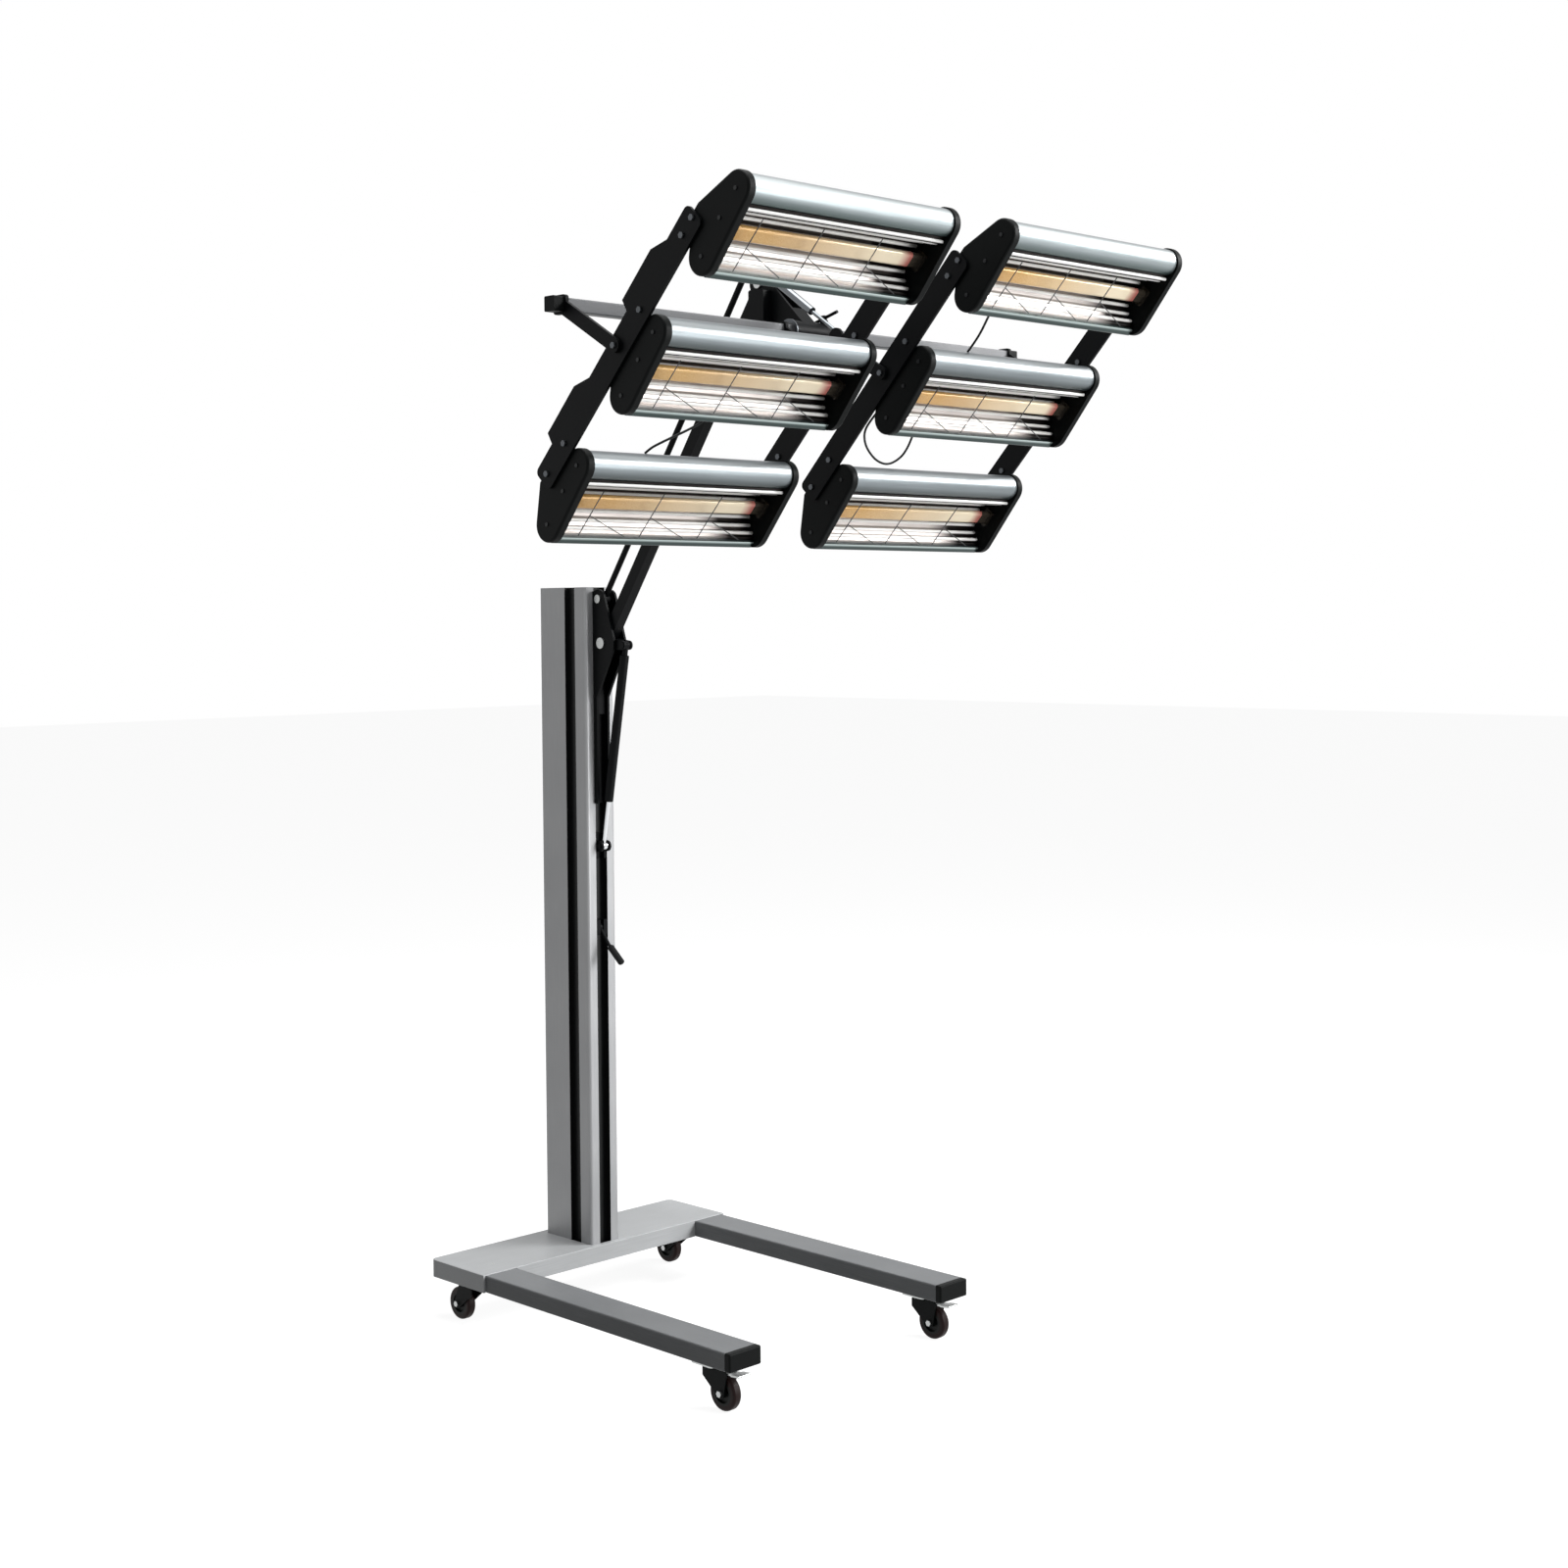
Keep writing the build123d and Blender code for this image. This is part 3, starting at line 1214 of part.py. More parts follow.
for caster_name, (swivel_x, swivel_y, trail) in casters.items():
    axle_place = (swivel_y + trail * caster_trail, wheel_radius)
    pedal_place = (swivel_y - pedal_reach, fork_clearance + pedal_height)
    braked = caster_name.startswith("front")
    with BuildPart() as fork:
        with BuildSketch(side_plane(swivel_x)):
            with Locations((swivel_y, fork_clearance - crown_thickness / 2)):
                Rectangle(fork_head_diameter, 3 * crown_thickness)
            with Locations(axle_place):
                Circle(fork_foot_radius)
            if braked:
                with Locations(pedal_place):
                    Circle(pedal_boss_radius)
            make_hull()
        extrude(amount=arm_outer, both=True)
        with BuildSketch(side_plane(swivel_x)):
            with Locations((swivel_y, fork_clearance - wheel_diameter)):
                Rectangle(4 * wheel_diameter, 2 * wheel_diameter)
            if braked:
                gap_length = wheel_diameter
                with Locations((swivel_y - fork_head_diameter / 2 - gap_length / 2, fork_clearance)):
                    Rectangle(gap_length, gap_length)
        extrude(amount=arm_inner, both=True, mode=Mode.SUBTRACT)
        with BuildSketch(Plane.XY.offset(fork_clearance + crown_thickness)):
            with Locations((swivel_x, swivel_y)):
                Circle(fork_head_diameter / 2)
        extrude(amount=fork_head_height)
        fillet(fork.faces().sort_by(Axis.Z)[-1].edges(), fork_head_round)
        with BuildSketch(Plane.XY.offset(fork_clearance)):
            with Locations((swivel_x, swivel_y)):
                Circle(kingpin_diameter / 2 + running_fit)
        extrude(amount=crown_thickness + fork_head_height, mode=Mode.SUBTRACT)
        with BuildSketch(side_plane(swivel_x)):
            with Locations(axle_place):
                Circle(axle_diameter / 2 + running_fit)
        extrude(amount=2 * arm_outer, both=True, mode=Mode.SUBTRACT)
        if braked:
            with BuildSketch(side_plane(swivel_x)):
                with Locations(pedal_place):
                    Circle(pedal_pin_diameter / 2)
            extrude(amount=arm_outer, both=True)
    fork.part.label = f"{caster_name}_fork"
    export_step(fork.part, f"parts/{caster_name}_fork.step")

    with BuildPart() as axle:
        with BuildSketch(side_plane(swivel_x)):
            with Locations(axle_place):
                Circle(axle_diameter / 2)
        extrude(amount=arm_outer, both=True)
        for side in sides.values():
            with BuildSketch(side_plane(swivel_x + side * arm_outer)):
                with Locations(axle_place):
                    RegularPolygon(axle_head_diameter / 2, 6)
            extrude(amount=side * axle_head_height)
    axle.part.label = f"{caster_name}_axle"
    export_step(axle.part, f"parts/{caster_name}_axle.step")

    wheel_centre = Vector(swivel_x, *axle_place)
    wheel_section = Plane(origin=wheel_centre, x_dir=along, z_dir=(0, -1, 0))
    hub_radius = hub_diameter / 2
    with BuildPart() as wheel:
        with BuildSketch(wheel_section):
            with Locations((0, (hub_radius - hub_rim / 2))):
                Rectangle(wheel_width, hub_rim)
            with Locations((0, hub_radius / 2)):
                Rectangle(wheel_width - 2 * hub_recess, hub_radius)
            with Locations((0, hub_boss_diameter / 4)):
                Rectangle(2 * arm_inner - 2 * seat_gap, hub_boss_diameter / 2)
            with Locations((0, (axle_diameter / 2 + running_fit) / 2)):
                Rectangle(wheel_diameter, axle_diameter / 2 + running_fit, mode=Mode.SUBTRACT)
        revolve(axis=Axis(wheel_centre, along))
        with BuildSketch(wheel_section) as tyre:
            tyre_height = wheel_radius - hub_radius - running_fit
            with Locations((0, wheel_radius - tyre_height / 2)):
                Rectangle(wheel_width, tyre_height)
            fillet(tyre.vertices().group_by(Axis.Y)[-1], tyre_round)
        revolve(axis=Axis(wheel_centre, along))
    wheel.part.label = f"{caster_name}_wheel"
    export_step(wheel.part, f"parts/{caster_name}_wheel.step")

    if braked:
        pedal_end = (pedal_place[0] - pedal_length, pedal_place[1] + pedal_rise)
        with BuildPart() as pedal:
            with BuildSketch(side_plane(swivel_x)):
                with Locations(pedal_place):
                    Circle(pedal_thickness / 2)
                with Locations(pedal_end):
                    Circle(pedal_thickness / 2)
                make_hull()
                with Locations(pedal_place):
                    Circle(pedal_hub_diameter / 2)
            extrude(amount=arm_inner - seat_gap, both=True)
            pad_start = (
                pedal_end[0] + pedal_pad_length,
                pedal_end[1] - pedal_rise * pedal_pad_length / pedal_length,
            )
            with BuildSketch(side_plane(swivel_x)):
                with Locations(pad_start, pedal_end):
                    Circle(pedal_thickness / 2)
                make_hull()
            extrude(amount=pedal_pad_width / 2, both=True)
            with BuildSketch(side_plane(swivel_x)):
                with Locations(pedal_place):
                    Circle(pedal_pin_diameter / 2 + running_fit)
            extrude(amount=2 * arm_outer, both=True, mode=Mode.SUBTRACT)
        pedal.part.label = f"{caster_name}_brake_pedal"
        export_step(pedal.part, f"parts/{caster_name}_brake_pedal.step")
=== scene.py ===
"""Looks of an infrared paint curing lamp on a wheeled stand, built round its fixed frame."""

import logging
import math
from dataclasses import dataclass
from enum import Enum
from typing import Optional

import bpy
from mathutils import Matrix, Vector


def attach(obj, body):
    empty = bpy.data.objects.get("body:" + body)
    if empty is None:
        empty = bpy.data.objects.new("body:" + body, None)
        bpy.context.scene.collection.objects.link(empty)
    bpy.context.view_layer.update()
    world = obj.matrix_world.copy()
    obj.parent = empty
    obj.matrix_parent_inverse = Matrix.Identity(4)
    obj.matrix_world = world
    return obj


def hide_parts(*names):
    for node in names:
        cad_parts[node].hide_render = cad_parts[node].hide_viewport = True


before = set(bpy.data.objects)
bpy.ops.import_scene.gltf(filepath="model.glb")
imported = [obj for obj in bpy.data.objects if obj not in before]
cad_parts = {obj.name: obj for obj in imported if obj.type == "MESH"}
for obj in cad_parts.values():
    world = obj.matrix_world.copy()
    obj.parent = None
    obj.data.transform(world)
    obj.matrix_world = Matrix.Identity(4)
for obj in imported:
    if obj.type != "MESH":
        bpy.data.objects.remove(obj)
logging.basicConfig(level=logging.INFO, format="%(message)s")
LOG = logging.getLogger("curing_lamp")

Tree = bpy.types.NodeTree
Node = bpy.types.Node
Socket = bpy.types.NodeSocket
Place = tuple[float, float, float]

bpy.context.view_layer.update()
MM = 0.001

# The lamp head at rest: its directions, its centre and the spacing of its cassettes
TILT = math.radians(43.75)
UP = Vector((0.0, -math.sin(TILT), math.cos(TILT)))
OUT = Vector((0.0, -math.cos(TILT), -math.sin(TILT)))
TILT_AXIS = Vector((0.0, -0.772981, 2.233024))
HEAD_OUT = 0.2666
HEAD_UP = 0.0377
HEAD = TILT_AXIS + OUT * HEAD_OUT + UP * HEAD_UP
BANK_X = 0.3706
ROW_PITCH = 0.326
ROWS = {"top": 1, "middle": 0, "bottom": -1}
SIDES = {"left": -1, "right": 1}

# The reflectors' curve in each cassette
REFLECTOR_MIDDLE = -0.008
FLUTES = 9

# The noise that every finish shares
FINE_DETAIL = 3.0
FINE_ROUGHNESS = 0.55
BROAD_SCALE = 5.0
BROAD_DETAIL = 4.0
TINT_RANGE = (0.12, 0.42)
SHEEN_RANGE = (0.3, 0.7)
LEAST_ROUGHNESS = 0.02
RELIEF_STRENGTH = 0.6

WHITE = "ffffff"


def linear(code: str) -> tuple[float, float, float, float]:
    """Turn an sRGB hex colour into linear values.

    Args:
        code: Six hex digits, such as "9aa0a4".

    Returns:
        Linear red, green, blue and an alpha of one.
    """
    parts = [int(code[at : at + 2], 16) / 255 for at in (0, 2, 4)]
    shades = [
        part / 12.92 if part <= 0.04045 else ((part + 0.055) / 1.055) ** 2.4 for part in parts
    ]
    return (shades[0], shades[1], shades[2], 1.0)


def add_node(
    tree: Tree,
    kind: str,
    settings: Optional[dict[str, object]] = None,
    inputs: Optional[dict[object, object]] = None,
) -> Node:
    """Add a node, set its properties and fill or link its inputs.

    Args:
        tree: The node tree that takes the node.
        kind: The node's type name.
        settings: Properties of the node by name.
        inputs: Values or output sockets by input name or place.

    Returns:
        The new node.
    """
    node = tree.nodes.new(kind)
    for name, value in (settings or {}).items():
        setattr(node, name, value)
    for name, value in (inputs or {}).items():
        socket = node.inputs[name]
        if isinstance(value, Socket):
            tree.links.new(value, socket)
        else:
            socket.default_value = value
    return node


def at_head(x: float, up: float, out: float, row: float = 0.0) -> Vector:
    """Give the point at x along the banks, up and outward from a row's centre, in metres."""
    return HEAD + Vector((x, 0.0, 0.0)) + UP * (up + row * ROW_PITCH) + OUT * out


def mixed(tree: Tree, factor: Socket, first: object, second: object) -> Socket:
    """Blend two colours, each a linear colour or a socket, by a factor."""
    inputs = {"Factor": factor, 6: first, 7: second}
    return add_node(tree, "ShaderNodeMix", {"data_type": "RGBA"}, inputs).outputs[2]


def ramp(
    tree: Tree, value: Socket, start: float, end: float, low: float = 0.0, high: float = 1.0
) -> Socket:
    """Map a value between two limits onto a range, held at both ends."""
    inputs = {"Value": value, "From Min": start, "From Max": end, "To Min": low, "To Max": high}
    return add_node(tree, "ShaderNodeMapRange", inputs=inputs).outputs[0]


def sums(tree: Tree, how: str, first: object, second: object = 0.0, third: object = 0.0) -> Socket:
    """Run one arithmetic step on numbers or sockets."""
    inputs = {0: first, 1: second, 2: third}
    return add_node(tree, "ShaderNodeMath", {"operation": how}, inputs).outputs[0]


def vectors(tree: Tree, how: str, first: object, second: object = (0.0, 0.0, 0.0)) -> Node:
    """Run one step of vector arithmetic on vectors or sockets."""
    return add_node(tree, "ShaderNodeVectorMath", {"operation": how}, {0: first, 1: second})


def row_place(tree: Tree, place: Node) -> tuple[Socket, Socket, Socket]:
    """Place a point in its own cassette.

    Args:
        tree: The material's node tree.
        place: Its texture coordinate node.

    Returns:
        The point's distance along, up and outward from the cassette's middle, in metres.
    """
    offset = vectors(tree, "SUBTRACT", place.outputs["Object"], tuple(HEAD)).outputs[0]
    parts = add_node(tree, "ShaderNodeSeparateXYZ", inputs={0: place.outputs["Object"]})
    height = vectors(tree, "DOT_PRODUCT", offset, tuple(UP)).outputs["Value"]
    depth = vectors(tree, "DOT_PRODUCT", offset, tuple(OUT)).outputs["Value"]
    up = sums(tree, "WRAP", height, ROW_PITCH / 2, -ROW_PITCH / 2)
    from_bank = sums(tree, "WRAP", parts.outputs["X"], 2 * BANK_X, 0.0)
    along = sums(tree, "SUBTRACT", from_bank, BANK_X)
    return along, up, depth


def seen_directly(tree: Tree) -> Socket:
    """Tell the rays that show the backdrop from those that only light the object.

    Args:
        tree: The node tree that takes the nodes.

    Returns:
        One where a ray comes from the camera, a reflection or through glass, else zero.
    """
    path = add_node(tree, "ShaderNodeLightPath")
    seen = sums(tree, "MAXIMUM", path.outputs["Is Camera Ray"], path.outputs["Is Glossy Ray"])
    return sums(tree, "MAXIMUM", seen, path.outputs["Is Transmission Ray"])


class Grain(Enum):
    """How a finish's fine pattern runs."""

    EVEN = (1.0, 1.0, 1.0)
    ALONG_X = (0.02, 1.0, 1.0)
    ALONG_Y = (1.0, 0.02, 1.0)
    ALONG_Z = (1.0, 1.0, 0.02)


@dataclass(frozen=True)
class Finish:
    """One real material with its colour variation, sheen and fine surface."""

    name: str
    colour: str
    shade: str
    metallic: float
    roughness: float
    roughness_spread: float
    pattern_mm: float
    grain: Grain = Grain.EVEN
    bump_mm: float = 0.02
    specular: float = 0.5

    def material(self) -> bpy.types.Material:
        """Build the finish the first time and reuse it after that.

        Returns:
            The finish's material.
        """
        made = bpy.data.materials.get(self.name)
        if made:
            return made
        made = bpy.data.materials.new(self.name)
        made.use_nodes = True
        tree = made.node_tree
        tree.nodes.clear()
        place = add_node(tree, "ShaderNodeTexCoord")
        scale = tuple(part / (self.pattern_mm * MM) for part in self.grain.value)
        spread = add_node(
            tree, "ShaderNodeMapping", inputs={"Vector": place.outputs["Object"], "Scale": scale}
        )
        fine = add_node(
            tree,
            "ShaderNodeTexNoise",
            inputs={
                "Vector": spread.outputs[0],
                "Scale": 1.0,
                "Detail": FINE_DETAIL,
                "Roughness": FINE_ROUGHNESS,
            },
        ).outputs["Fac"]
        broad = add_node(
            tree,
            "ShaderNodeTexNoise",
            inputs={
                "Vector": place.outputs["Object"],
                "Scale": BROAD_SCALE,
                "Detail": BROAD_DETAIL,
            },
        ).outputs["Fac"]
        steps = ramp(tree, sums(tree, "MULTIPLY", fine, broad), *TINT_RANGE)
        tint = mixed(tree, steps, linear(self.shade), linear(self.colour))
        colour = self.coloured(tree, place, tint)
        smoothest = max(LEAST_ROUGHNESS, self.roughness - self.roughness_spread)
        roughest = min(1.0, self.roughness + self.roughness_spread)
        sheen = ramp(tree, fine, *SHEEN_RANGE, smoothest, roughest)
        relief = add_node(
            tree,
            "ShaderNodeBump",
            inputs={
                "Height": fine,
                "Strength": RELIEF_STRENGTH,
                "Distance": self.bump_mm * MM,
            },
        )
        shader = add_node(
            tree,
            "ShaderNodeBsdfPrincipled",
            inputs={
                "Base Color": colour,
                "Roughness": sheen,
                "Metallic": self.metallic,
                "Specular IOR Level": self.specular,
                "Normal": relief.outputs[0],
            },
        )
        add_node(tree, "ShaderNodeOutputMaterial", inputs={"Surface": shader.outputs[0]})
        self.finished(shader)
        return made

    def coloured(self, tree: Tree, place: Node, tint: Socket) -> Socket:
        """Return the colour that reaches the shader; a plain finish keeps its tint."""
        return tint

    def finished(self, shader: Node) -> None:
        """Set what a special finish adds to the shader's own sockets."""


@dataclass(frozen=True)
class ColumnProfile(Finish):
    """Anodised column profile with painted shade: the insides of its deep slots are painted near
    black.
    """

    # Painted shade: the near-black colour given to the slot insides.
    painted_slot_shade: str = "0c0e0f"
    front_half_width: float = 0.0225
    front_depth_y: float = -0.0843
    side_slot_y: float = -0.028
    side_half_width: float = 0.0228
    side_depth_x: float = 0.0424

    def coloured(self, tree: Tree, place: Node, tint: Socket) -> Socket:
        """Paint shade into the insides of the front and side slots by their place.

        Args:
            tree: The material's node tree.
            place: Its texture coordinate node.
            tint: The finish's plain colour.

        Returns:
            The colour for the shader.
        """
        parts = add_node(tree, "ShaderNodeSeparateXYZ", inputs={0: place.outputs["Object"]})
        width = sums(tree, "ABSOLUTE", parts.outputs["X"])
        front = sums(
            tree,
            "MULTIPLY",
            sums(tree, "LESS_THAN", width, self.front_half_width),
            sums(tree, "GREATER_THAN", parts.outputs["Y"], self.front_depth_y),
        )
        from_slot = sums(tree, "SUBTRACT", parts.outputs["Y"], self.side_slot_y)
        side = sums(
            tree,
            "MULTIPLY",
            sums(tree, "LESS_THAN", sums(tree, "ABSOLUTE", from_slot), self.side_half_width),
            sums(tree, "LESS_THAN", width, self.side_depth_x),
        )
        return mixed(tree, sums(tree, "MAXIMUM", front, side), tint, linear(self.painted_slot_shade))


@dataclass(frozen=True)
class CassetteProfile(Finish):
    """Anodised cassette profile with painted light: a painted highlight band across the roll with
    painted shade above and below it, and a lower rail painted dark as shade with a painted
    highlight along its upper rim.
    """

    # Painted colours: shade on the lower rail, a highlight along its upper rim, shade below the
    # roll, a highlight band across the roll and shade over its top.
    rail: str = "2f3c3b"
    rail_rim_highlight: str = "b8c6c4"
    roll_underside_shade: str = "475655"
    crest: str = "c6cccd"
    top: str = "7d8284"
    roll_up: float = 0.087
    roll_out: float = -0.030
    back_out: float = -0.05
    roll_underside_shade_band: tuple[float, float] = (-0.026, -0.014)
    crest_band: tuple[float, float] = (-0.002, 0.009)
    roll_top_shade_band: tuple[float, float] = (0.015, 0.023)
    rail_up: float = -0.0755
    lip_band: tuple[float, float] = (-0.0825, -0.0765)

    def coloured(self, tree: Tree, place: Node, tint: Socket) -> Socket:
        """Paint light and shade on the roll by its height over the floor, and paint shade on the
        lower rail with a painted highlight along its upper rim.

        Args:
            tree: The material's node tree.
            place: Its texture coordinate node.
            tint: The finish's plain colour.

        Returns:
            The colour for the shader.
        """
        _, up, out = row_place(tree, place)
        # The roll's painted light: its level picks the painted shade below, the painted highlight
        # band and the painted shade at the top.
        rise = sums(tree, "MULTIPLY", sums(tree, "SUBTRACT", up, self.roll_up), math.cos(TILT))
        reach = sums(tree, "MULTIPLY_ADD", out, -math.sin(TILT), self.roll_out * math.sin(TILT))
        level = sums(tree, "ADD", rise, reach)
        behind = sums(tree, "LESS_THAN", out, self.back_out)
        plain = sums(tree, "MAXIMUM", ramp(tree, level, *self.roll_underside_shade_band), behind)
        roll = mixed(tree, plain, linear(self.roll_underside_shade), tint)
        roll = mixed(tree, ramp(tree, level, *self.crest_band), roll, linear(self.crest))
        roll = mixed(tree, ramp(tree, level, *self.roll_top_shade_band), roll, linear(self.top))
        # The lower rail faces the floor and is painted dark as shade, lighter at its upper rim as a
        # painted highlight.
        low = sums(tree, "LESS_THAN", up, self.rail_up)
        painted_rail_shade = mixed(tree, ramp(tree, up, *self.lip_band), linear(self.rail), linear(self.rail_rim_highlight))
        return mixed(tree, low, roll, painted_rail_shade)


@dataclass(frozen=True)
class ReflectorSheet(Finish):
    """Fluted mirror sheet with painted shade: its valleys are painted dark behind the lamp and
    towards the far end, and the flat strip at its top is painted dark as the shade below the roll.
    """

    # Painted shade: the dark of the valleys and of the top strip.
    painted_valley_shade: str = "15110f"
    half_height: float = 0.062
    depth: float = 0.056
    crest_band: tuple[float, float] = (0.14, 0.24)
    far_lean: float = 0.025
    far_band: tuple[float, float] = (0.13, 0.2)
    high_band: tuple[float, float] = (1.35, 1.6)
    high_share: float = 0.93
    hem_up: float = 0.052

    def coloured(self, tree: Tree, place: Node, tint: Socket) -> Socket:
        """Follow the flutes round the curve and paint shade into their valleys and the flat strip
        at the top by place.

        Args:
            tree: The material's node tree.
            place: Its texture coordinate node.
            tint: The finish's plain colour.

        Returns:
            The colour for the shader.
        """
        along, up, out = row_place(tree, place)
        rise = sums(
            tree, "MULTIPLY_ADD", up, -1 / self.half_height, REFLECTOR_MIDDLE / self.half_height
        )
        reach = sums(tree, "MULTIPLY_ADD", out, -1 / self.depth, REFLECTOR_MIDDLE / self.depth)
        angle = sums(tree, "ABSOLUTE", sums(tree, "ARCTAN2", reach, rise))
        turns = sums(tree, "FRACT", sums(tree, "MULTIPLY", angle, FLUTES / math.pi))
        off_crest = sums(tree, "ABSOLUTE", sums(tree, "SUBTRACT", turns, 0.5))
        painted_valley_shade = ramp(tree, off_crest, *self.crest_band)
        slant = sums(tree, "MULTIPLY_ADD", angle, self.far_lean, along)
        far = ramp(tree, slant, *self.far_band)
        high = ramp(tree, angle, *self.high_band, 0.0, self.high_share)
        painted_hem_shade = sums(tree, "GREATER_THAN", up, self.hem_up)
        deep = sums(tree, "MULTIPLY", painted_valley_shade, sums(tree, "MAXIMUM", far, high))
        return mixed(tree, sums(tree, "MAXIMUM", deep, painted_hem_shade), tint, linear(self.painted_valley_shade))


@dataclass(frozen=True)
class CasterTyre(Finish):
    """Red-brown tyre on a black hub, told apart by distance from the wheel's axle."""

    centre: Place = (0.0, 0.0, 0.0)
    hub: str = "101312"
    hub_radius: float = 0.0262

    def coloured(self, tree: Tree, place: Node, tint: Socket) -> Socket:
        """Give everything inside the tyre's seat the hub's black.

        Args:
            tree: The material's node tree.
            place: Its texture coordinate node.
            tint: The finish's plain colour.

        Returns:
            The colour for the shader.
        """
        offset = vectors(tree, "SUBTRACT", place.outputs["Object"], self.centre)
        flat = vectors(tree, "MULTIPLY", offset.outputs[0], (0.0, 1.0, 1.0))
        reach = vectors(tree, "LENGTH", flat.outputs[0]).outputs["Value"]
        inner = sums(tree, "LESS_THAN", reach, self.hub_radius)
        return mixed(tree, inner, tint, linear(self.hub))


@dataclass(frozen=True)
class QuartzTube(Finish):
    """Quartz twin tube with a gold coat, held in dark ceramic ends."""

    ceramic: str = "3a342c"
    bare: str = "f3e4c6"
    blush: str = "c4766c"
    fade_band: tuple[float, float] = (-0.16, 0.16)
    blush_band: tuple[float, float] = (0.205, 0.232)
    far_holder: float = 0.238
    near_holder: float = -0.2655
    transmission: float = 0.12
    ior: float = 1.46

    def coloured(self, tree: Tree, place: Node, tint: Socket) -> Socket:
        """Thin the gold coat towards one end and tone the holders.

        Args:
            tree: The material's node tree.
            place: Its texture coordinate node.
            tint: The finish's plain colour.

        Returns:
            The colour for the shader.
        """
        along, _, _ = row_place(tree, place)
        coat = mixed(tree, ramp(tree, along, *self.fade_band), tint, linear(self.bare))
        coat = mixed(tree, ramp(tree, along, *self.blush_band), coat, linear(self.blush))
        far_end = sums(tree, "GREATER_THAN", along, self.far_holder)
        near_end = sums(tree, "LESS_THAN", along, self.near_holder)
        end = sums(tree, "MAXIMUM", far_end, near_end)
        return mixed(tree, end, coat, linear(self.ceramic))

    def finished(self, shader: Node) -> None:
        """Let some light through the tube."""
        shader.inputs["Transmission Weight"].default_value = self.transmission
        shader.inputs["IOR"].default_value = self.ior


# Extruded and anodised: fine die lines run up the column and scatter a satin highlight.
COLUMN = ColumnProfile(
    "anodised_column", "acadae", "9e9fa1", 0.3, 0.42, 0.06, 1.6, Grain.ALONG_Z, 0.01
)
# Rolled and anodised sheet: broad soft reflection with faint rolling lines.
COVER = Finish(
    "anodised_sheet", "babcbe", "acaeaf", 0.05, 0.45, 0.05, 1.8, Grain.ALONG_X, 0.01, 0.2
)
# Extruded leg tube, anodised: die lines run along the leg.
LEG = Finish("anodised_leg", "86888a", "797b7d", 0.0, 0.42, 0.05, 1.6, Grain.ALONG_Y, 0.01, 0.1)
# Extruded and satin anodised: die lines run along the cassette and stretch the highlight.
# The top row's copy, with the lighter painted highlight and shade of the two.
CASSETTE = CassetteProfile(
    "anodised_cassette", "8f9799", "838b8d", 0.7, 0.38, 0.05, 1.2, Grain.ALONG_X, 0.008
)
# The same profile lower in the bank, painted darker as shade: greyer, with a narrower painted
# highlight band.
CASSETTE_PAINTED_SHADE = CassetteProfile(
    "anodised_cassette_painted_shade",
    "7c8386",
    "70777a",
    0.7,
    0.38,
    0.05,
    1.2,
    Grain.ALONG_X,
    0.008,
    crest="a9aeb0",
    top="5f6467",
    roll_underside_shade="3c4546",
)
# Black powder coat: a soft sheen broken up by a fine orange peel.
POWDER = Finish(
    "black_powder_coat", "090b0d", "050607", 0.0, 0.45, 0.08, 1.5, Grain.EVEN, 0.04, 0.08
)
# Grey powder coat on the square bar: even and half matte.
BAR = Finish("grey_powder_coat", "717274", "656668", 0.1, 0.45, 0.06, 1.5, Grain.EVEN, 0.03, 0.3)
# Glass-filled nylon, moulded with a light spark texture: it stays dark and hardly shines.
MOULDED = Finish("moulded_nylon", "080b0b", "040606", 0.0, 0.5, 0.08, 0.9, Grain.EVEN, 0.05, 0.08)
# Soft moulded rubber: matte, with dusty high spots.
GRIP = Finish("moulded_rubber", "101113", "0a0b0c", 0.0, 0.75, 0.08, 1.2, Grain.EVEN, 0.06, 0.2)
# Zinc plate on steel: bright and slightly uneven.
ZINC = Finish("zinc_plate", "c3c5c6", "a8aaa8", 1.0, 0.3, 0.08, 2.5, Grain.EVEN, 0.01)
# Black oxide on the screws of the end caps: dark steel that still glints on its edges.
OXIDE = Finish("black_oxide_steel", "14171a", "0d0f11", 0.5, 0.35, 0.08, 1.2, Grain.EVEN, 0.01)
# Dull zinc on the rails' bolts and the bar's bushes, greyed by handling.
DULL_ZINC = Finish("dull_zinc_plate", "63666a", "4c4f52", 0.9, 0.4, 0.08, 1.6, Grain.EVEN, 0.01)
# Hard chrome on the ground rod of the lifting strut: mirror-like, with faint grinding rings.
CHROME = Finish("hard_chrome", "d6d8da", "c8cacc", 1.0, 0.1, 0.03, 1.0, Grain.EVEN, 0.002)
# Dark chrome of the tilt strut: its edges fall to black beside a thin bright core.
DARK_CHROME = Finish("dark_chrome", "6f7376", "5e6164", 1.0, 0.16, 0.04, 1.0, Grain.EVEN, 0.002)
# Polished and anodised aluminium sheet: a mirror with a slight haze along its rolling lines.
MIRROR = ReflectorSheet(
    "polished_reflector", "cfc8c4", "bdb5b1", 0.9, 0.34, 0.03, 2.0, Grain.ALONG_X, 0.004
)
# Beads on the reflector's crests, painted matte white as the crests' highlights, so they show over
# the mouth's dark end.
BEAD_PAINTED_HIGHLIGHT = Finish("bead_painted_highlight", "f6f6f4", "e8e8e5", 0.0, 0.3, 0.05, 1.5, Grain.ALONG_X, 0.004)
# Quartz tube with a gold coat: warm gloss that thins to cream.
QUARTZ = QuartzTube(
    "gold_coated_quartz", "e0b878", "cb9a55", 0.15, 0.2, 0.05, 3.0, Grain.EVEN, 0.01
)
